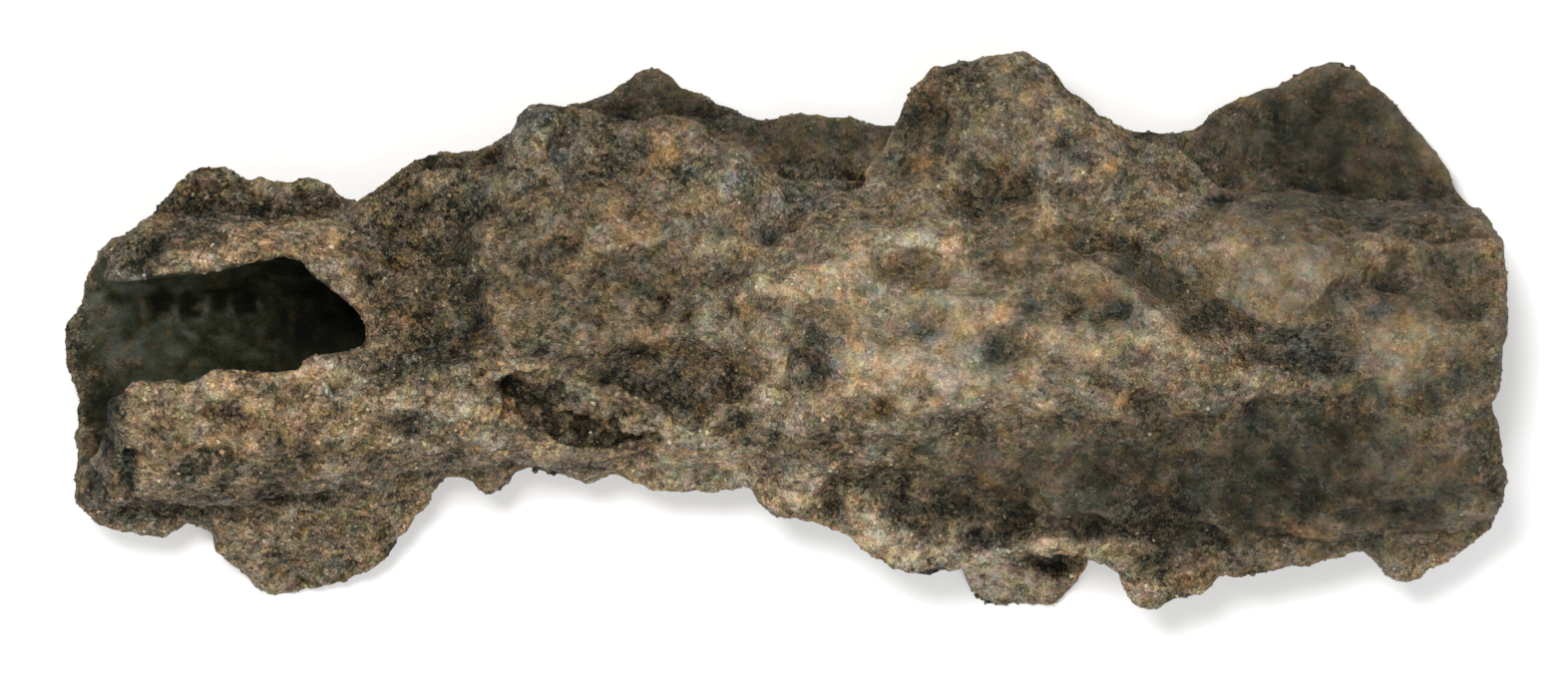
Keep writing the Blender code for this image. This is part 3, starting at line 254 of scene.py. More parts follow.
# Broad lighter and darker parts, added together; those over the lower flank and the slot are painted shade.
BROAD = [
    (4, 0, 10, 8, 0, 0.22), (8.5, 3.2, 3, 2.6, 0, 0.28), (2, -3, 2.6, 3, 0, 0.1), (12.8, 2, 4, 4, 0, 0.15),
    (-21, 9.5, 7, 3.4, -15, -0.25), (-16, 7, 3, 2, 0, -0.15), (-8, 13.4, 7, 1.4, 0, -0.3),
    (-15.5, 13.6, 3, 1.2, 0, -0.3), (12, 15.8, 6, 2, 0, -0.22), (35, 7.6, 9, 1.6, 0, -0.25),
    (33, -9, 13, 5, 0, -0.35), (18, -10, 7, 3.4, 0, -0.1), (34, 12, 8, 4, 0, -0.25),
    (44.6, -3, 1.6, 12, 0, -0.36), (2.6, 11.6, 3, 1.4, 0, -0.15), (-9.5, 10.4, 3.5, 1.5, 0, 0.1),
    (31.5, -1, 3.2, 0.9, 0, 0.1), (24, 9, 4, 2, 0, 0.08), (-0.5, -8.2, 3, 1, -20, 0.12),
    (14, -15.6, 2.4, 1, 0, 0.12), (-43.6, -6, 2.4, 8, 0, -0.25), (-40, 8, 4, 4, 35, -0.22),
    (-3, -8.4, 3.5, 1.4, 0, 0.2), (-27, 1, 2, 4, 0, -0.2), (-34, 5.6, 4, 1, 0, -0.2),
    (-24.8, -13.4, 1.4, 2, 0, -0.3), (30, 2.6, 5, 2.4, 0, -0.1), (34, 14.6, 4, 2, 0, -0.2),
    (27, -14.6, 8, 1.4, 0, -0.18), (-38, -10.6, 5, 2, 0, -0.1), (-20.5, 3, 5, 5, 0, -0.1),
    (5, 12.6, 6, 1.2, 0, -0.1),
]
BLUE = [
    (-40.8, 3.2, 1.4, 0.6, 0, 0.8), (-41.2, -8.2, 0.6, 1.8, 0, 0.7), (-42.5, -9.5, 1.5, 1.6, 0, 0.3),
    (-26.6, 5, 1, 0.8, 0, 0.4), (-16.2, 12.6, 1, 1.6, 0, 0.8), (-15.6, 13.4, 1.2, 0.5, 0, 0.9),
    (-15.4, 10.5, 1, 1, 0, 0.5), (-19, 8.4, 1, 0.8, 0, 0.3), (-14.8, 11.2, 2, 1.6, 0, 0.4),
    (-3.2, 11, 0.9, 0.5, 0, 0.9), (-2.6, 9.4, 1.2, 0.9, 0, 0.7), (-13.5, 9.6, 1, 1, 0, 0.3),
    (0.4, 8.2, 2, 0.9, 0, 0.6), (3.2, 9.2, 0.6, 0.5, 0, 1), (-0.8, 5.8, 0.8, 0.5, 0, 0.5),
    (2.4, -2.5, 0.9, 0.6, 0, 0.9), (1.6, -1, 1.2, 0.8, 0, 0.5), (8.9, -0.2, 1.1, 0.5, 0, 0.9),
    (12.9, -1.5, 1.2, 1, 0, 0.7), (15.4, 1.2, 0.7, 0.7, 0, 0.7), (18.3, 1.2, 0.6, 0.6, 0, 0.7),
    (20.9, 1.3, 1.2, 0.7, 0, 0.6), (20.6, 3.8, 1.6, 0.4, 0, 0.4), (25.4, 0.4, 0.9, 0.8, 0, 0.35),
    (16.6, 10, 1, 0.6, 0, 0.6), (18.6, 11, 0.8, 0.5, 0, 0.4), (27.3, 8.1, 0.9, 0.4, 0, 0.6),
    (35, 1.8, 1.2, 0.5, 0, 0.8), (37, 1.3, 1, 0.5, 0, 0.9), (33.6, -1.8, 2, 0.9, 0, 0.6),
    (30.8, -1.9, 1.2, 0.8, 0, 0.5), (42.6, -2.8, 1.4, 0.5, 0, 0.5), (37.6, 14, 1, 1, 0, 0.4),
    (31.5, -1, 3.2, 0.9, 0, 0.5), (8, -13.6, 4, 0.8, -20, 0.25), (14, -15.4, 2.4, 1.2, 0, 0.3),
    (32, 11.4, 2, 1.4, 0, 0.25), (-13, -4.2, 1, 0.6, 0, 0.6), (-10.5, -3, 1.8, 0.9, 0, 0.3),
    (-6.6, -3.8, 1.4, 1, 0, 0.3), (44.2, -9.4, 0.6, 0.8, 0, 0.6), (9.2, -14.3, 0.8, 0.4, 0, 0.5),
    (30, -8, 3, 2, 0, 0.2), (20, -11, 3, 1, 0, 0.25), (-22.6, -2.2, 3, 0.4, 6, 0.4),
    (10, 8, 0.8, 0.8, 0, 0.2), (29.6, 7, 0.7, 0.5, 0, 0.3), (-18, -8.6, 1, 0.7, 0, 0.3),
]
RUST = [
    (-29.2, 5.4, 1.3, 0.8, -20, 0.7), (-27, 2.6, 0.9, 2.2, 25, 0.4), (-39, 6.8, 0.9, 0.7, 30, 0.4),
    (-36.5, 8.6, 1.6, 0.8, 10, 0.4), (-42.8, 1.2, 0.5, 0.5, 0, 0.6), (-43.3, -2.6, 0.7, 0.6, 0, 0.8),
    (-41.8, -2, 0.8, 0.5, 0, 0.4), (-43.4, -6, 0.5, 0.8, 0, 0.5), (-43.5, -7.5, 0.5, 1, 0, 0.5),
    (-34, -5, 7, 3, 0, 0.3), (-32, 5.6, 4, 1.2, 0, 0.3), (-8.5, -2.2, 6, 1.2, 0, 0.22),
    (-13.8, -5.2, 3.8, 1.1, -25, 0.4), (-34.9, -3.5, 0.9, 0.6, 0, 0.5), (-33.6, -5, 0.6, 0.4, 0, 0.6),
    (-33.4, -7, 0.9, 0.6, 0, 0.4), (-39.6, -8.8, 0.7, 1.4, 0, 0.3), (-41.5, -10, 0.5, 0.4, 0, 0.7),
    (-25.6, -13.2, 0.7, 1, -40, 0.5), (-26, -11, 0.8, 0.8, 0, 0.4), (-24, 1, 2, 1, 0, 0.35),
    (-24.2, 4.2, 1, 0.5, 0, 0.5), (-22.6, -4.4, 2, 0.6, 0, 0.3), (-17.4, -4.9, 0.8, 0.5, 0, 0.9),
    (-14.6, -7.6, 0.9, 0.5, 0, 0.5), (-18.2, 10.9, 1, 0.8, 0, 0.4), (-16.2, 2.3, 1, 0.4, 0, 0.3),
    (-15.8, 4.2, 2, 0.5, 0, 0.35), (-13.4, 5.8, 0.8, 0.5, 0, 0.8), (-8.6, 5.7, 1.4, 0.5, 0, 0.4),
    (-5.6, 5.2, 1.6, 0.5, 0, 0.35), (-10.6, 7.2, 0.8, 0.8, 0, 0.4), (-7.6, 10.9, 0.7, 0.5, 0, 0.7),
    (-8, 13.8, 2, 0.6, 0, 0.3), (-0.6, 11.3, 0.6, 0.9, 0, 0.6), (-0.9, 10, 0.4, 0.6, 0, 0.4),
    (-7.6, 2.1, 0.4, 0.4, 0, 0.6), (-3.4, 1.3, 0.6, 0.5, 0, 0.6), (-5, -1.8, 2, 1, 0, 0.3),
    (-5, -4.6, 0.8, 0.6, 0, 0.7), (-12.6, -2.6, 0.7, 0.4, 0, 0.4), (3.4, 2.4, 0.6, 0.6, 0, 0.5),
    (4.3, 9.5, 0.6, 0.6, 0, 0.9), (4.4, -0.7, 0.5, 0.4, 0, 0.9), (6, -4.9, 0.7, 0.6, 0, 1),
    (8.6, 10.6, 0.6, 0.5, 0, 0.8), (10.4, 5, 0.5, 0.9, 0, 0.4), (13.3, 1, 0.6, 0.6, 0, 0.8),
    (13.8, 4, 1, 0.6, 0, 0.4), (14.2, 9.4, 0.9, 0.9, 0, 0.5), (10.4, 9.8, 0.6, 0.6, 0, 0.4),
    (15.6, 14.6, 0.8, 0.6, 0, 0.4), (20.4, 10.3, 0.4, 0.5, 0, 0.9), (20.9, 12.6, 0.8, 0.4, -40, 0.5),
    (18.8, 9.9, 0.5, 0.4, 0, 0.3), (18, 5.6, 3, 0.7, 0, 0.35), (18.2, 2.8, 1.8, 0.6, 0, 0.45),
    (19.6, 2, 1, 0.4, 0, 0.6), (19.6, -1.2, 1.4, 0.5, 0, 0.25), (21.2, -4.4, 0.5, 0.5, 0, 0.8),
    (28.4, -2, 0.5, 0.5, 0, 0.6), (37, 4.4, 0.5, 0.4, 0, 0.7), (38.6, 0.9, 0.5, 0.4, 0, 0.7),
    (40.4, -2.2, 1.2, 0.6, 0, 0.3), (32.6, -13, 1.2, 0.7, 0, 0.4), (25, -15.4, 0.7, 0.5, 0, 0.5),
    (41.2, -8.6, 1, 0.5, 0, 0.4), (34.8, -4.6, 0.8, 0.8, 0, 0.4), (23.4, -9.8, 1, 0.5, 0, 0.3),
    (44.2, 4, 0.6, 2.4, 0, 0.3), (14.6, -10.6, 1.2, 2, 0, 0.2), (1, -10.6, 1, 0.5, 0, 0.3),
    (5, -12, 0.8, 0.8, 0, 0.3),
]
# Where the grains are worn to one even tone.
CALM = [
    (33, -9, 12, 4.5, 0, 0.95), (36, 12, 10, 5, 0, 1), (18, -9, 8, 3, 0, 0.8), (31, 4, 6, 4, 0, 0.85),
    (22, 3, 8, 2, 0, 0.7), (40, 0, 6, 8, 0, 0.75), (12, 1, 16, 6, 0, 0.55), (2, 12.4, 7, 2, 0, 0.8),
    (-8, 14.8, 5, 2, 0, 0.7), (-10, 3, 12, 6, 0, 0.35), (14, 12, 8, 5, 0, 0.4),
]

# The two ends of the slanting gash's middle line, how far it reaches from that and its lowest level.
GASH = (-18, -3), (-9, -6.8)
GASH_REACH = 1.9
GASH_FLOOR = 7

# Pits in the upper face: x, y, radius, depth.
PITS = [
    (2.4, -2.3, 0.9, 0.25), (12.9, -1.5, 0.9, 0.25), (8.9, -0.2, 0.7, 0.18), (7.6, 3.6, 0.8, 0.15),
    (-7.6, 2.1, 0.4, 0.4), (2.9, -10.8, 0.5, 0.6), (4.3, 9.5, 0.5, 0.6), (27.3, 8.1, 0.6, 0.3),
    (-40.9, -8, 0.5, 0.7), (-40.9, -9.4, 0.45, 0.5), (-40.6, -10.6, 0.45, 0.4), (-41.2, -6.7, 0.5, 0.4),
    (-30.3, 8.4, 0.35, 0.5), (18.3, 1.2, 0.5, 0.2), (20.9, 1.3, 0.8, 0.2), (-0.8, 5.8, 0.6, 0.3),
    (-20.4, -7.8, 0.4, 0.4), (-23.2, -5.7, 0.8, 0.35), (-31.8, -10.4, 1, 0.4), (-30, -7.4, 0.6, 0.4),
    (6, -4.9, 0.6, 0.25), (36.6, 3.9, 0.6, 0.25), (34.6, 7, 0.6, 0.3), (16.8, -14.7, 0.9, 0.5),
    (-6.2, 0.8, 0.4, 0.3), (15.4, 1.2, 0.5, 0.25),
]

# They are lit crescents below the bubble hollows, glints, and lighter glass near the open end.
# Painted highlights on the lining behind the window: x, y, half length, half width, turn, strength.
LINING_HIGHLIGHTS = [
    (-43.2, 0.8, 1.4, 1.6, 0, 0.35), (-41.9, 0.2, 0.9, 1.8, 0, 0.35), (-42.2, -1.6, 1, 0.5, 0, 0.3),
    (-39.6, -1.5, 1.6, 0.8, 0, 0.15), (-38.3, 1.1, 0.25, 0.6, 20, 0.6), (-38.9, 0.6, 0.5, 0.2, -10, 0.45),
    (-36.3, 1.6, 0.25, 0.7, -10, 0.6), (-36.9, 0.6, 0.6, 0.2, 0, 0.45), (-34.8, 1.3, 0.22, 0.5, 30, 0.5),
    (-35.2, 0.9, 0.5, 0.18, 0, 0.35), (-33, 1.5, 0.25, 0.6, 0, 0.5), (-33.6, 1, 0.5, 0.18, 0, 0.35),
    (-35.4, -0.5, 1, 0.25, -15, 0.35), (-33.2, -1.5, 1.4, 0.25, 5, 0.3), (-40.6, 2.6, 1.2, 0.35, 0, 0.5),
    (-31, 0.4, 0.25, 0.8, 0, 0.4), (-34.4, 0.3, 0.3, 0.35, 0, 0.35), (-39.8, 0.2, 0.5, 0.22, 40, 0.35),
    (-37.4, -0.2, 0.6, 0.22, -20, 0.35), (-32.2, -0.8, 0.5, 0.25, 0, 0.35), (-40.3, 1.6, 0.22, 0.7, 0, 0.5),
    (-37.9, 2.6, 0.7, 0.18, 10, 0.35), (-35.8, 2.8, 0.7, 0.18, 0, 0.3), (-41.2, 0.6, 0.4, 0.3, 0, 0.3),
    (-40.9, -0.8, 0.6, 0.22, 20, 0.3), (-38.6, -1.3, 0.9, 0.22, -8, 0.25), (-36.6, -1.9, 0.8, 0.2, 5, 0.25),
    (-30, 1.6, 0.3, 0.5, 0, 0.3),
]
# Dark places on the lining.
SHADOWS = [
    (-42.7, -4.9, 1.5, 2, 0, 0.48), (-36.5, -1.8, 2.6, 0.8, 0, 0.2), (-39.4, 1.7, 0.8, 0.9, 0, 0.7),
    (-37.4, 1.6, 0.8, 0.9, 0, 0.7), (-35.6, 2, 0.7, 0.8, 0, 0.6), (-34, 1.9, 0.7, 0.8, 0, 0.5),
    (-29, 0.8, 2.6, 2.2, 0, 0.35), (-41.3, -0.2, 0.5, 0.4, 0, 0.5), (-44.6, -2, 0.7, 3, 0, 0.3),
    (-43.4, 2.9, 0.6, 0.5, 0, 0.4), (-42.2, 1.9, 0.6, 0.45, 0, 0.5), (-42.9, -0.4, 0.5, 0.3, 0, 0.4),
    (-36, 0, 0.4, 0.3, 0, 0.4), (-40.6, -2.2, 0.5, 0.3, 0, 0.35), (-43.9, 0.3, 0.35, 0.5, 0, 0.35),
    (-38, -0.6, 0.4, 0.3, 0, 0.25),
]
# Rusty spots on the rim of the open end.
RUSTY = [
    (-42.9, 1.3, 0.6, 0.4, 20, 1), (-43.4, -2.6, 0.7, 0.6, 0, 1), (-41.4, -2, 0.9, 0.4, 10, 0.7),
    (-44.2, 0.9, 0.3, 0.5, 0, 0.7), (-43.3, -6, 0.5, 0.9, 0, 0.8), (-42.6, -4.4, 0.6, 1.2, 0, 0.5),
    (-42.4, 0.2, 0.3, 0.3, 0, 0.6), (-38.9, 0.9, 0.4, 0.25, 0, 0.6), (-36.8, 1.5, 0.4, 0.3, 0, 0.6),
]
# Small shifts of the upper skin: x, y, half length, half width, shift in x and in y.
NUDGES = [
    (-41.3, 4.3, 2.2, 1.6, 0, -0.55), (-37.2, 4.2, 2.4, 1.4, 0, -0.2), (-31.2, 4.2, 2.6, 1.4, 0, 0.3),
    (-26.8, 0.2, 1.6, 2.4, 0.7, 0), (-28.2, -1.9, 2, 1.2, 0, 0.25), (-39.5, -2.8, 1.6, 1, 0, 0.2),
]
# How far the window shows the lining.
WINDOW_END_X, WINDOW_HALF_Y, WINDOW_TOP_Z = -26, 5.5, 8
# Bubble hollows in the lining behind the window: x, y, radius, depth.
BUBBLES = [
    (-39.1, 1.7, 0.8, 0.45), (-37.2, 1.5, 0.8, 0.4), (-35.5, 1.9, 0.6, 0.3), (-34.2, 1.9, 0.8, 0.35),
    (-32, 1, 0.7, 0.25), (-29.8, 1.7, 0.9, 0.3), (-40.8, -0.4, 0.7, 0.2), (-36.4, -0.8, 0.8, 0.15),
    (-31.6, -1.2, 0.8, 0.2), (-28.6, 0.4, 0.7, 0.25), (-38.4, 3, 0.5, 0.2),
]


def wobble(point, size, seed):
    """Smooth noise from -1 to 1, whose lumps are about size across."""
    return noise.noise(Vector(point) / size + Vector((seed, -seed, 2 * seed)))


def wobbles(points, size, seed):
    return np.array([wobble(p, size, seed) for p in points])


def cells(points, size, seed):
    """0 in the middle of each of many round lumps of about this size, and up to about 1 between them."""
    shift = Vector((seed, 3 * seed, -seed))
    return np.array([noise.voronoi(Vector(p) / size + shift)[0][0] for p in points])


def reach(gap, half_x, half_y, turn):
    """The square of each point's distance from an ellipse's middle, where 1 is on its edge."""
    c, s = math.cos(math.radians(turn)), math.sin(math.radians(turn))
    along = gap[:, 0] * c + gap[:, 1] * s
    across = gap[:, 1] * c - gap[:, 0] * s
    return (along / half_x) ** 2 + (across / half_y) ** 2


def patches(points, warp, rows, edge=1.3):
    """How strongly ragged patches cover each point, from 0 to 1; a higher edge is crisper."""
    cover = np.zeros(len(points))
    for x, y, half_x, half_y, turn, strength in rows:
        gap = points[:, :2] - (x, y) + warp * min(half_x, half_y)
        cover = np.maximum(cover, strength * np.exp(-0.6 * reach(gap, half_x, half_y, turn) ** edge))
    return cover


def broad_shade(points):
    """The sum of the broad lighter and darker parts at each point."""
    shade = np.zeros(len(points))
    for x, y, half_x, half_y, turn, amount in BROAD:
        shade += amount * np.exp(-reach(points[:, :2] - (x, y), half_x, half_y, turn) ** 1.5)
    return shade


def bore_depth(points):
    """How far each point is from the bore's axis, where 1 is on the bore's wall."""
    x = points[:, 0]
    middle_y, middle_z, half_y, half_z = [
        np.interp(x, [row[0] for row in BORE], [row[i] for row in BORE]) for i in range(1, 5)
    ]
    return np.hypot((points[:, 1] - middle_y) / half_y, (points[:, 2] - middle_z) / half_z)


def inside_bore(points, normals):
    """1 on the lining of the bore, which faces its axis, and 0 on the crust."""
    x = points[:, 0]
    to_axis = np.stack([
        np.interp(x, [row[0] for row in BORE], [row[1] for row in BORE]) - points[:, 1],
        np.interp(x, [row[0] for row in BORE], [row[2] for row in BORE]) - points[:, 2],
    ], axis=1)
    to_axis /= np.linalg.norm(to_axis, axis=1)[:, None] + 1e-9
    facing = (normals[:, 1:] * to_axis).sum(axis=1)
    near = np.clip((1.3 - bore_depth(points)) / 0.15, 0, 1)
    return near * np.clip((facing - 0.15) / 0.3, 0, 1)


def tones(points, normals):
    """The crust's tones at each point: shade, which is 0 in the middle, then blue, rust and calm."""
    warp = 0.55 * np.stack([wobbles(points, 2, 6.1), wobbles(points, 2, 9.4)], axis=1)
    warp += 0.35 * np.stack([wobbles(points, 0.7, 2.1), wobbles(points, 0.7, 4.4)], axis=1)
    upper = np.clip(normals[:, 2] * 2.5 + 0.9, 0, 1)
    broad, spread = wobbles(points, 7, 3.3), wobbles(points, 4.5, 17.9)
    breakup = 0.95 + 0.4 * wobbles(points, 1.1, 8.8) + 0.3 * wobbles(points, 0.5, 5.5)
    mottle = 0.1 * wobbles(points, 3.2, 12.2) + 0.16 * wobbles(points, 1.5, 13.7)
    mottle += 0.18 * wobbles(points, 0.8, 15.1)
    found = []
    for rows, hidden in (
        (PALE, broad), (DARK_AND_SHADE, -broad), (BLUE, 0.5 * spread), (RUST, -spread), (CALM, 0.3 * spread),
    ):
        seen = patches(points, warp, rows)
        unseen = np.clip(hidden * 1.1, 0, 0.5)
        found.append(np.clip((seen * upper + unseen * (1 - upper)) * breakup, 0, 1.3))
    pale, dark, blue, rust, calm = found
    calm = np.clip(calm, 0, 1)
    # The lightness: the sand's own paler and darker tones, with painted shade from the darker and broad
    # patches.
    shade = (pale - dark) * (1 - 0.4 * calm) + mottle * (1 - 0.55 * calm) + broad_shade(points) * upper
    return np.stack([shade, blue, rust, calm], axis=1)


def read(items, key, width, kind=np.float32):
    """One of a mesh's own lists, as rows of this width."""
    values = np.empty(len(items) * width, kind)
    items.foreach_get(key, values)
    return values.reshape(-1, width)


def vertex_places(mesh):
    return read(mesh.vertices, "co", 3).astype(float) / MM


def vertex_normals(mesh):
    return read(mesh.vertex_normals, "vector", 3).astype(float)


def place_vertices(mesh, points):
    """Moves the vertices, but never out of the solid's own box."""
    low, high = np.array(CAD_LOW) / MM, np.array(CAD_HIGH) / MM
    kept = np.clip(points, low, high) * MM
    mesh.vertices.foreach_set("co", kept.astype(np.float32).ravel())
    mesh.update()


def paint(mesh, name, values):
    """Stores rows of up to four numbers on the vertices, for the material to read."""
    rows = np.ones((len(mesh.vertices), 4), np.float32)
    rows[:, : values.shape[1]] = values
    layer = mesh.color_attributes.new(name, "FLOAT_COLOR", "POINT")
    layer.data.foreach_set("color", rows.ravel())


def link(name, mesh):
    made = bpy.data.objects.new(name, mesh)
    bpy.context.scene.collection.objects.link(made)
    return made


def evaluated_mesh(target):
    graph = bpy.context.evaluated_depsgraph_get()
    return bpy.data.meshes.new_from_object(target.evaluated_get(graph))


def fine_skin():
    """The solid's own form, even and fine enough to carry the crust."""
    skin = link("fulgurite_crust", NODE.data.copy())
    remesh = skin.modifiers.new("even out", "REMESH")
    remesh.mode = "VOXEL"
    remesh.voxel_size = CRUST_VOXEL * MM
    smooth = skin.modifiers.new("soften", "SMOOTH")
    smooth.factor = 0.5
    smooth.iterations = SMOOTHING
    mesh = evaluated_mesh(skin)
    skin.modifiers.clear()
    skin.data = mesh
    return skin


def dents(points, rows, ragged):
    """How deep round hollows are at each point, seen from above."""
    deep = np.zeros(len(points))
    for x, y, radius, depth in rows:
        gap = np.hypot(*(points[:, :2] - (x, y) + ragged * radius).T) / radius
        deep = np.maximum(deep, depth * np.exp(-gap ** 2.4))
    return deep


def gash_reach(points):
    """1 along the slanting gash, and 0 a few millimetres from it and on the lower side."""
    (x0, y0), (x1, y1) = GASH
    share = np.clip(((points[:, 0] - x0) * (x1 - x0) + (points[:, 1] - y0) * (y1 - y0))
                    / ((x1 - x0) ** 2 + (y1 - y0) ** 2), 0, 1)
    gap = np.hypot(points[:, 0] - x0 - share * (x1 - x0), points[:, 1] - y0 - share * (y1 - y0))
    return np.exp(-(gap / GASH_REACH) ** 4) * (points[:, 2] > GASH_FLOOR)


def neighbour_average(mesh):
    """Gives a function that averages each vertex's neighbours."""
    one, other = read(mesh.edges, "vertices", 2, np.int32).T
    start, end = np.concatenate([one, other]), np.concatenate([other, one])
    size = len(mesh.vertices)
    count = np.bincount(start, minlength=size)

    def average(points):
        return np.stack([np.bincount(start, axis[end], size) / count for axis in points.T], axis=1)

    return average


def settle(skin):
    """Evens out the worn parts of the upper face, waves the sides' ledges and nudges the window's lips."""
    mesh = skin.data
    points, normals = vertex_places(mesh), vertex_normals(mesh)
    average = neighbour_average(mesh)
    pull = 0.5 * patches(points, np.zeros((len(points), 2)), CALM) * np.clip(normals[:, 2] * 3 - 1.6, 0, 1)
    for _ in range(EVENING):
        points += pull[:, None] * (average(points) - points)
    steep = np.clip(1 - 1.6 * np.abs(normals[:, 2]), 0, 1)
    points[:, 2] += 0.9 * steep * wobbles(points * (1, 1, 0.3), 3.2, 14.4)
    above = np.clip(points[:, 2] - UPPER_Z, 0, 1)
    for x, y, half_x, half_y, shift_x, shift_y in NUDGES:
        near = np.exp(-reach(points[:, :2] - (x, y), half_x, half_y, 0) ** 2)
        points[:, :2] += (near * above)[:, None] * (shift_x, shift_y)
    place_vertices(mesh, points)


def roughen(skin):
    """Lumps, crumbs and pits on the crust, and bubble hollows in the lining."""
    mesh = skin.data
    points, normals = vertex_places(mesh), vertex_normals(mesh)
    lining = inside_bore(points, normals)
    even = 1 - 0.65 * patches(points, np.zeros((len(points), 2)), CALM)
    lumps = 0.28 * wobbles(points, 2.4, 1.7) + 0.2 * wobbles(points, 1.2, 4.9)
    crumbs = 0.1 * wobbles(points, 0.7, 6.6) + 0.24 * (0.45 - cells(points, 1.05, 2.3))
    crumbs = even * (crumbs + 0.18 * (0.45 - cells(points, 0.6, 7.1)))
    ragged = 0.6 * np.stack([wobbles(points, 0.8, 3.7), wobbles(points, 0.8, 7.9)], axis=1)
    facing = np.clip(normals[:, 2] * 2, 0, 1)
    torn = 0.8 * wobbles(points, 1.3, 2.9) + 0.5 * wobbles(points, 0.6, 8.3)
    torn = (torn + 0.7 * (0.4 - cells(points, 1, 9.2))) * gash_reach(points)
    bubbles = 0.2 * wobbles(points, 2.2, 5.3) - 0.22 * np.clip(0.5 - cells(points, 2.6, 1.1), 0, 1)
    bubbles = bubbles - dents(points, BUBBLES, 0.3 * ragged) * facing
    outer = lumps + crumbs + torn - dents(points, PITS, ragged) * facing - 0.05
    rise = (1 - lining) * outer + lining * bubbles
    place_vertices(mesh, points + normals * rise[:, None])


def hollows(mesh):
    """How deep each vertex sits among its neighbours, 0 on tops to 1 in hollows, for painted shade."""
    points, normals = vertex_places(mesh), vertex_normals(mesh)
    average = neighbour_average(mesh)
    around = points
    for _ in range(HOLLOW_REACH):
        around = average(around)
    above = ((around - points) * normals).sum(axis=1)
    return np.clip(0.45 + above * 2.2, 0, 1)


def thin_out(skin, faces):
    """Fewer faces, except on the lining that shows through the window."""
    mesh = skin.data
    mesh.calc_loop_triangles()
    share = faces / len(mesh.loop_triangles)
    if share < 1:
        points, normals = vertex_places(mesh), vertex_normals(mesh)
        shown = (points[:, 0] < WINDOW_END_X) & (np.abs(points[:, 1]) < WINDOW_HALF_Y)
        shown &= (points[:, 2] < WINDOW_TOP_Z) & (normals[:, 2] > 0.1)
        shown &= inside_bore(points, normals) > 0.3
        group = skin.vertex_groups.new(name="thinned")
        group.add(np.flatnonzero(~shown).tolist(), 1, "REPLACE")
        decimate = skin.modifiers.new("thin out", "DECIMATE")
        decimate.ratio = share
        decimate.vertex_group = group.name
        mesh = evaluated_mesh(skin)
        skin.modifiers.clear()
        skin.vertex_groups.clear()
        skin.data = mesh


# ---- materials ----


class Nodes:
    """Short names for making and linking a material's nodes."""

    def __init__(self, name):
        self.material = bpy.data.materials.new(name)
        self.material.use_nodes = True
        self.tree = self.material.node_tree
        self.surface = self.tree.nodes["Principled BSDF"]

    def make(self, kind, inputs=(), **settings):
        node = self.tree.nodes.new("ShaderNode" + kind)
        for key, value in settings.items():
            setattr(node, key, value)
        for key, value in dict(inputs).items():
            self.give(node.inputs[key], value)
        return node

    def give(self, socket, value):
        if isinstance(value, bpy.types.NodeSocket):
            self.tree.links.new(value, socket)
        else:
            socket.default_value = value

    def place(self):
        return self.make("TexCoord").outputs["Object"]

    def noise(self, where, size, detail=3.0, rough=0.55):
        """Noise from 0 to 1 with lumps of this size in millimetres."""
        inputs = {"Vector": where, "Scale": 1 / (size * MM), "Detail": detail, "Roughness": rough}
        return self.make("TexNoise", inputs).outputs["Fac"]

    def voronoi(self, where, size, output="Color"):
        return self.make("TexVoronoi", {"Vector": where, "Scale": 1 / (size * MM)}).outputs[output]

    def ramp(self, value, stops):
        node = self.make("ValToRGB", {"Fac": value})
        elements = node.color_ramp.elements
        while len(elements) < len(stops):
            elements.new(0.5)
        for element, (position, colour) in zip(elements, stops):
            element.position = position
            element.color = (*colour, 1) if isinstance(colour, tuple) else (colour,) * 3 + (1,)
        return node.outputs["Color"]

    def mix(self, factor, first, second, blend="MIX"):
        node = self.make("Mix", data_type="RGBA", blend_type=blend)
        self.give(node.inputs["Factor"], factor)
        for key, value in (("A", first), ("B", second)):
            socket = [s for s in node.inputs if s.name == key and s.type == "RGBA"][0]
            self.give(socket, (*value, 1) if isinstance(value, tuple) else value)
        return [s for s in node.outputs if s.type == "RGBA"][0]

    def maths(self, operation, *values):
        node = self.make("Math", operation=operation)
        for socket, value in zip(node.inputs, values):
            self.give(socket, value)
        return node.outputs[0]

    def tint(self, colour, by):
        return self.mix(1.0, colour, by, "MULTIPLY")

    def show(self, looks):
        """Sets the shader's own sockets."""
        for key, value in looks.items():
            self.give(self.surface.inputs[key], value)

    def split(self, colour):
        return self.make("SeparateColor", {"Color": colour}).outputs

    def painted(self, name):
        return self.make("Attribute", attribute_name=name, attribute_type="GEOMETRY")

    def bump(self, height, distance, strength, normal=None):
        inputs = {"Height": height, "Distance": distance * MM, "Strength": strength}
        node = self.make("Bump", inputs)
        if normal:
            self.give(node.inputs["Normal"], normal)
        return node.outputs["Normal"]


# Colours of the sand, as they look on a screen, from dark glass to pale quartz.
SAND = [
    (0.0, (0.078, 0.078, 0.064)), (0.15, (0.166, 0.160, 0.132)), (0.3, (0.260, 0.240, 0.198)),
    (0.45, (0.354, 0.318, 0.264)), (0.6, (0.450, 0.402, 0.337)), (0.75, (0.543, 0.492, 0.416)),
    (0.9, (0.632, 0.583, 0.500)), (1.0, (0.710, 0.667, 0.587)),
]
LINING = [
    (0.0, (0.042, 0.050, 0.022)), (0.25, (0.110, 0.119, 0.073)), (0.5, (0.203, 0.214, 0.172)),
    (0.75, (0.290, 0.300, 0.268)), (1.0, (0.395, 0.382, 0.345)),
]


def linear(stops):
    return [(place, tuple(shown ** SCREEN_GAMMA for shown in colour)) for place, colour in stops]


def tinted(nodes, colour, where, size, one, other):
    """Colour that drifts between two tints in patches of this size."""
    ramp = nodes.ramp(nodes.noise(where, size, 2.0), [(0.3, one), (0.7, other)])
    return nodes.tint(colour, ramp)


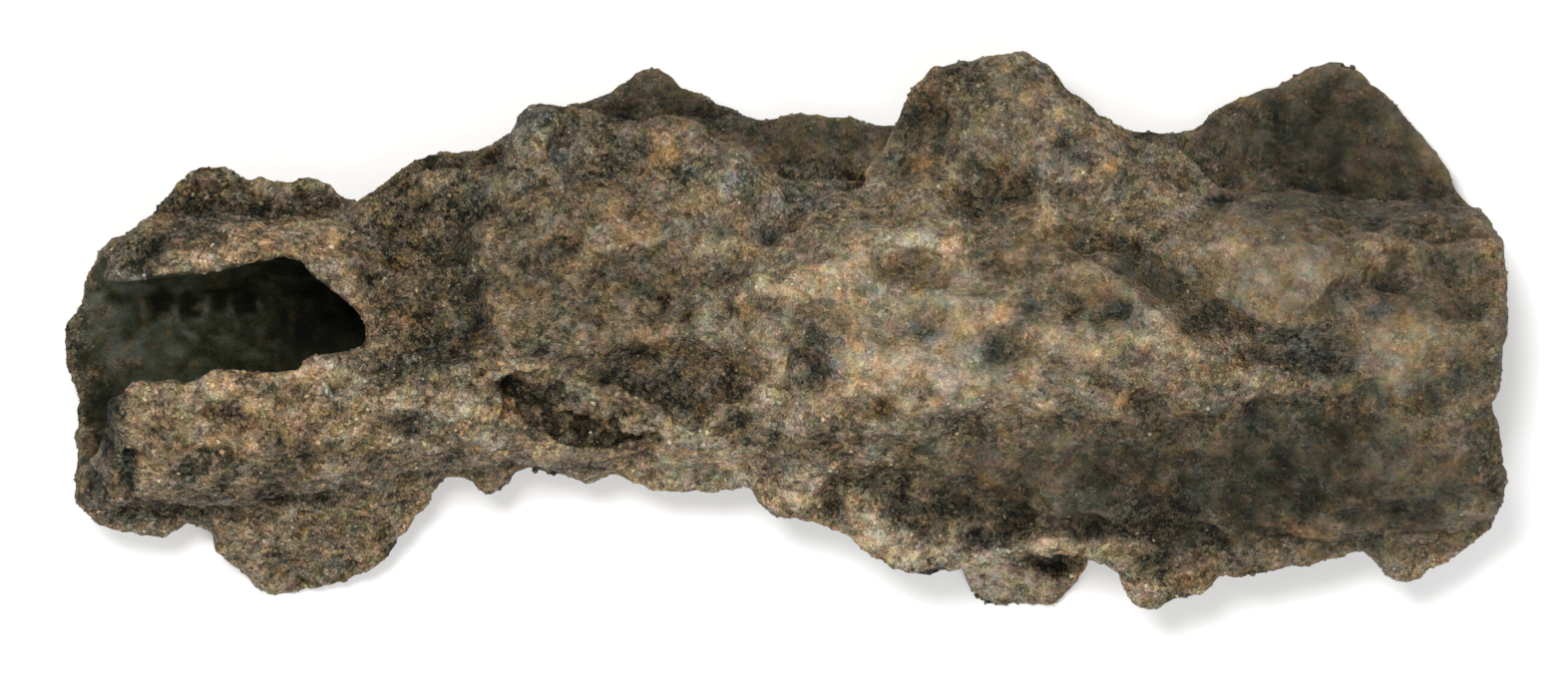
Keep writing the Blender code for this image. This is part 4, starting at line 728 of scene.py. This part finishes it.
def sand_colour(nodes, lightness, painted, tint, where):
    """Sand of a lightness from 0 to 1, with the painted hues and the grain's own tint."""
    blue, rust = nodes.split(painted.outputs["Color"])[1:3]
    colour = nodes.ramp(lightness, linear(SAND))
    aside = nodes.make("VectorMath", {0: where, 1: (0.07, 0.02, 0.05)}, operation="ADD").outputs[0]
    colour = tinted(nodes, colour, where, 0.8, (1.17, 0.97, 0.92), (0.865, 1.03, 1.03))
    colour = tinted(nodes, colour, aside, 1.1, (1.03, 1.0, 0.76), (0.97, 1.0, 1.23))
    colour = tinted(nodes, colour, aside, 3, (1.08, 0.98, 0.88), (0.92, 1.02, 1.04))
    colour = nodes.mix(blue, colour, nodes.tint(colour, (0.76, 0.98, 1.3)))
    clumps = nodes.ramp(nodes.noise(where, 0.9, 3.0), [(0.54, 0.0), (0.7, 0.5)])
    clumps = nodes.maths("MULTIPLY", clumps, nodes.maths("MULTIPLY_ADD", tint, 0.5, 0.4))
    redness = nodes.maths("MAXIMUM", rust, clumps)
    return nodes.mix(redness, colour, nodes.tint(colour, (1.34, 0.96, 0.62)))


def crust_material():
    nodes = Nodes("fused_sand")
    where = nodes.place()
    painted, form = nodes.painted("tones"), nodes.painted("form")
    shade = nodes.split(painted.outputs["Color"])[0]
    calm = painted.outputs["Alpha"]
    hollow, lining, worn = nodes.split(form.outputs["Color"])[:3]
    painted_lining_light = form.outputs["Alpha"]
    wander = nodes.make("TexNoise", {"Vector": where, "Scale": 1 / (0.35 * MM), "Detail": 2.0})
    wander = wander.outputs["Color"]
    shift = nodes.make("VectorMath", {0: wander, 1: (0.5, 0.5, 0.5)}, operation="SUBTRACT").outputs[0]
    bent = nodes.make("VectorMath", {0: shift, 1: (0.3 * MM,) * 3, 2: where}, operation="MULTIPLY_ADD")
    bent = bent.outputs[0]
    grain = nodes.split(nodes.voronoi(bent, 0.3))
    coarse = nodes.split(nodes.voronoi(bent, 0.6))
    # Grain by grain lightness, centred on 0.
    fine = nodes.maths("MULTIPLY_ADD", grain[0], 0.38, -0.19)
    fine = nodes.maths("MULTIPLY_ADD", coarse[0], 0.08, nodes.maths("SUBTRACT", fine, 0.04))
    speckle = nodes.maths("SUBTRACT", nodes.noise(where, 0.12, 2.0), 0.5)
    fine = nodes.maths("MULTIPLY_ADD", speckle, 1.1, fine)
    clouds = nodes.maths("SUBTRACT", nodes.noise(where, 0.55, 3.0), 0.5)
    fine = nodes.maths("MULTIPLY_ADD", clouds, 0.45, fine)
    kept = nodes.maths("MULTIPLY_ADD", calm, -0.8, 1.0)
    fine = nodes.maths("MULTIPLY", fine, kept)
    value = nodes.maths("MULTIPLY_ADD", shade, SHADE_GAIN, CRUST_LIGHTNESS)
    value = nodes.maths("ADD", value, fine)
    # Painted shade: darker in the hollows, lighter on the tops.
    raised = nodes.maths("SUBTRACT", HOLLOW_MIDDLE, hollow)
    value = nodes.maths("MULTIPLY_ADD", raised, HOLLOW_SHADE_GAIN, value)
    sand = sand_colour(nodes, value, painted, grain[1], where)
    # The lining is dark bottle-green glass, lightened and darkened by painted light and shade.
    film = nodes.noise(where, 1.2, 5.0, 0.7)
    glass = nodes.maths("MULTIPLY_ADD", film, 0.9, nodes.maths("SUBTRACT", painted_lining_light, 0.45))
    glass = nodes.ramp(nodes.maths("MULTIPLY_ADD", speckle, 0.35, glass), linear(LINING))
    stain = nodes.ramp(nodes.noise(where, 0.8, 3.0), [(0.56, 0.0), (0.66, 0.8)])
    glass = nodes.mix(stain, glass, nodes.tint(glass, (1.9, 1.15, 0.7)))
    bare = nodes.maths("MULTIPLY", lining, nodes.maths("SUBTRACT", 1.0, worn))
    colour = nodes.mix(bare, sand, glass)
    dull = nodes.maths("MULTIPLY_ADD", grain[1], 0.35, 0.55)
    gloss = nodes.maths("MULTIPLY_ADD", film, 0.3, 0.65)
    matt = nodes.maths("SUBTRACT", 1.0, bare)
    rough = nodes.maths("MULTIPLY", dull, matt)
    rough = nodes.maths("MULTIPLY_ADD", gloss, bare, rough)
    strength = nodes.maths("MULTIPLY", nodes.maths("MULTIPLY_ADD", bare, -0.5, 0.85), kept)
    normal = nodes.bump(nodes.noise(where, 0.45, 5.0, 0.7), 0.2, strength)
    pebbles = nodes.maths("SUBTRACT", 1.0, nodes.voronoi(bent, 0.3, "Distance"))
    normal = nodes.bump(pebbles, 0.13, strength, normal)
    nodes.show({"Base Color": colour, "Roughness": rough, "Specular IOR Level": 0.1, "Normal": normal})
    return nodes.material


def grain_material(name, group):
    """Grains whose own lightness and tint are painted on them."""
    nodes = Nodes(name)
    where = nodes.place()
    painted, own = nodes.painted("tones"), nodes.painted("grain")
    shade = nodes.split(painted.outputs["Color"])[0]
    value, tint, hollow = nodes.split(own.outputs["Color"])[:3]
    value = nodes.maths("MULTIPLY_ADD", shade, SHADE_GAIN, value)
    speckle = nodes.maths("SUBTRACT", nodes.noise(where, 0.16, 2.0), 0.5)
    value = nodes.maths("MULTIPLY_ADD", speckle, 0.3, value)
    # Painted shade: darker in the hollows, lighter on the tops.
    raised = nodes.maths("SUBTRACT", HOLLOW_MIDDLE, hollow)
    value = nodes.maths("MULTIPLY_ADD", raised, HOLLOW_SHADE_GAIN, value)
    sand = sand_colour(nodes, value, painted, tint, where)
    rough = nodes.maths("MULTIPLY_ADD", nodes.noise(where, 0.6), 0.5, 0.25 + 0.08 * group)
    normal = nodes.bump(nodes.noise(where, 0.12, 2.0), 0.03, 0.5)
    nodes.show({"Base Color": sand, "Roughness": rough, "Specular IOR Level": 0.3, "Normal": normal})
    return nodes.material


# ---- the pieces ----


def make_crust():
    skin = fine_skin()
    settle(skin)
    roughen(skin)
    thin_out(skin, CRUST_FACES)
    mesh = skin.data
    place_vertices(mesh, vertex_places(mesh))
    points, normals = vertex_places(mesh), vertex_normals(mesh)
    lining = inside_bore(points, normals)
    lining *= 1 - gash_reach(points)
    worn = np.clip((RIM_X - points[:, 0] + 2 * wobbles(points, 1.2, 4.2)) / 1.4, 0, 0.8)
    ragged = 0.5 * np.stack([wobbles(points, 0.9, 3.7), wobbles(points, 0.9, 7.9)], axis=1)
    # The lining's painted light: painted highlights and painted shadows.
    painted_lining_light = 0.5 + 0.5 * patches(points, ragged, LINING_HIGHLIGHTS, 2.5)
    painted_lining_light -= 0.45 * patches(points, ragged, SHADOWS, 2.5)
    # Lighter and darker at random, and darker further into the bore, as painted shade.
    painted_lining_light += 0.12 * wobbles(points, 0.8, 2.2) - np.clip((points[:, 0] + 38) / 24, 0, 0.33)
    worn = np.maximum(worn, 0.75 * patches(points, ragged, RUSTY, 2))
    paint(mesh, "tones", tones(points, normals))
    # The form rows: hollow depth for painted shade, lining, worn rim, and the lining's painted light.
    paint(mesh, "form", np.stack([hollows(mesh), lining, worn, painted_lining_light], axis=1))
    for face in mesh.polygons:
        face.use_smooth = True
    mesh.materials.clear()
    mesh.materials.append(crust_material())
    return skin


def scatter(mesh, count, random):
    """Places, normals and hollows at random over the crust, evenly by area."""
    mesh.calc_loop_triangles()
    corners = read(mesh.loop_triangles, "vertices", 3, np.int32)
    points, normals = vertex_places(mesh), vertex_normals(mesh)
    form = read(mesh.color_attributes["form"].data, "color", 4)
    calm = read(mesh.color_attributes["tones"].data, "color", 4)[:, 3]
    a, b, c = (points[corners[:, i]] for i in range(3))
    area = np.linalg.norm(np.cross(b - a, c - a), axis=1)
    area *= (form[corners, 1].mean(axis=1) < 0.1) * np.clip(1 - 0.92 * calm[corners].mean(axis=1), 0, 1)
    chosen = random.choice(len(area), count, p=area / area.sum())
    share = random.dirichlet((1, 1, 1), count)
    corners = corners[chosen]
    spread = [(values[corners] * share[:, :, None]).sum(axis=1) for values in (points, normals, form)]
    spread[1] /= np.linalg.norm(spread[1], axis=1)[:, None]
    return spread


def make_grains(skin, group, random):
    """One group of sand grains: each a rough little stone, sunk into the crust."""
    work = bmesh.new()
    bmesh.ops.create_icosphere(work, subdivisions=1, radius=1)
    shape = np.array([tuple(v.co) for v in work.verts])
    facets = np.array([[v.index for v in face.verts] for face in work.faces])
    work.free()
    places, normals, form = scatter(skin.data, GRAINS, random)
    shades = tones(places, normals)
    low, high = GRAIN_RADIUS
    radius = low + (high - low) * random.random(GRAINS) ** 2.2
    stretch = random.uniform(0.7, 1.25, (GRAINS, 1, 3)) * random.uniform(0.85, 1.15, (GRAINS, len(shape), 1))
    turns = np.linalg.qr(random.normal(size=(GRAINS, 3, 3)))[0]
    turns[np.linalg.det(turns) < 0, :, 0] *= -1
    stones = np.einsum("nij,nkj->nki", turns, shape[None] * stretch) * radius[:, None, None]
    stones += (places - normals * radius[:, None] * GRAIN_SINK)[:, None]
    index = facets[None] + len(shape) * np.arange(GRAINS)[:, None, None]
    mesh = bpy.data.meshes.new("grains")
    mesh.from_pydata(stones.reshape(-1, 3) * MM, [], index.reshape(-1, 3).tolist())
    place_vertices(mesh, stones.reshape(-1, 3))
    own_tone, tint = random.normal(0, 0.15, GRAINS), random.random(GRAINS)
    # A few grains are much lighter: partly white quartz grains, partly painted glints.
    own_tone = (own_tone + 0.3 * (tint > 0.96)) * (1 - 0.75 * shades[:, 3])
    # The hollow depth rides along, for the painted shade of grains in hollows.
    own = np.stack([GRAIN_LIGHTNESS + own_tone, tint, form[:, 0]], axis=1)
    paint(mesh, "tones", np.repeat(shades, len(shape), axis=0))
    paint(mesh, "grain", np.repeat(own, len(shape), axis=0))
    name = f"sand_grains_{group + 1}"
    mesh.materials.append(grain_material(name, group))
    return link(name, mesh)


# ---- the set ----

FLOOR_HALF_WIDTH = 12
MIDDLE = (0, 0, 0.008)
CAMERA_HEIGHT = 1.0
CAMERA_CENTRE = (-0.00001, -0.00075)
SENSOR_WIDTH = 36
PHOTO_PIXELS, PIXELS_PER_MM = 1572, 16
PICTURE_WIDTH = PHOTO_PIXELS / PIXELS_PER_MM * MM


def look_at(thing, target):
    thing.rotation_mode = "QUATERNION"
    thing.rotation_quaternion = (Vector(target) - thing.location).to_track_quat("-Z", "Y")


def add_light(name, place, target, size, power, colour=(1, 1, 1)):
    lamp = bpy.data.lights.new(name, "AREA")
    lamp.shape = "DISK"
    lamp.size = size
    lamp.energy = power
    lamp.color = colour
    made = bpy.data.objects.new(name, lamp)
    made.location = place
    look_at(made, target)
    made.visible_camera = False
    bpy.context.scene.collection.objects.link(made)


def make_set():
    work = bmesh.new()
    bmesh.ops.create_grid(work, x_segments=1, y_segments=1, size=FLOOR_HALF_WIDTH)
    mesh = bpy.data.meshes.new("floor")
    work.to_mesh(mesh)
    work.free()
    floor = link("floor", mesh)
    nodes = Nodes("paper")
    nodes.show({"Base Color": (0.93, 0.93, 0.93, 1), "Roughness": 0.9, "Specular IOR Level": 0.1})
    mesh.materials.append(nodes.material)
    world = bpy.data.worlds.new("studio")
    world.use_nodes = True
    sky = world.node_tree.nodes["Background"].inputs
    sky["Color"].default_value, sky["Strength"].default_value = (1, 1, 1, 1), 0.55
    bpy.context.scene.world = world
    bpy.context.scene.view_settings.view_transform = "Standard"
    add_light("key", (-0.12, 0.2, 0.8), MIDDLE, 0.25, 5.2, (1, 0.985, 0.96))
    add_light("fill", (0.12, -0.38, 0.7), MIDDLE, 0.5, 3)
    return floor


def make_camera():
    """Looks straight down, with +Y at the top of the picture."""
    lens = bpy.data.cameras.new("camera")
    lens.sensor_width = SENSOR_WIDTH
    lens.lens = SENSOR_WIDTH * CAMERA_HEIGHT / PICTURE_WIDTH
    lens.clip_start, lens.clip_end = 0.01, 50
    camera = bpy.data.objects.new("camera", lens)
    camera.location = (*CAMERA_CENTRE, CAMERA_HEIGHT + MIDDLE[2])
    bpy.context.scene.collection.objects.link(camera)
    bpy.context.scene.camera = camera


def build():
    crust = make_crust()
    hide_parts("fulgurite")
    grains = [
        make_grains(crust, group, np.random.default_rng(SEED + group)) for group in range(GRAIN_GROUPS)
    ]
    for piece in [crust, *grains]:
        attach(piece, "root")
    make_set()
    make_camera()


build()
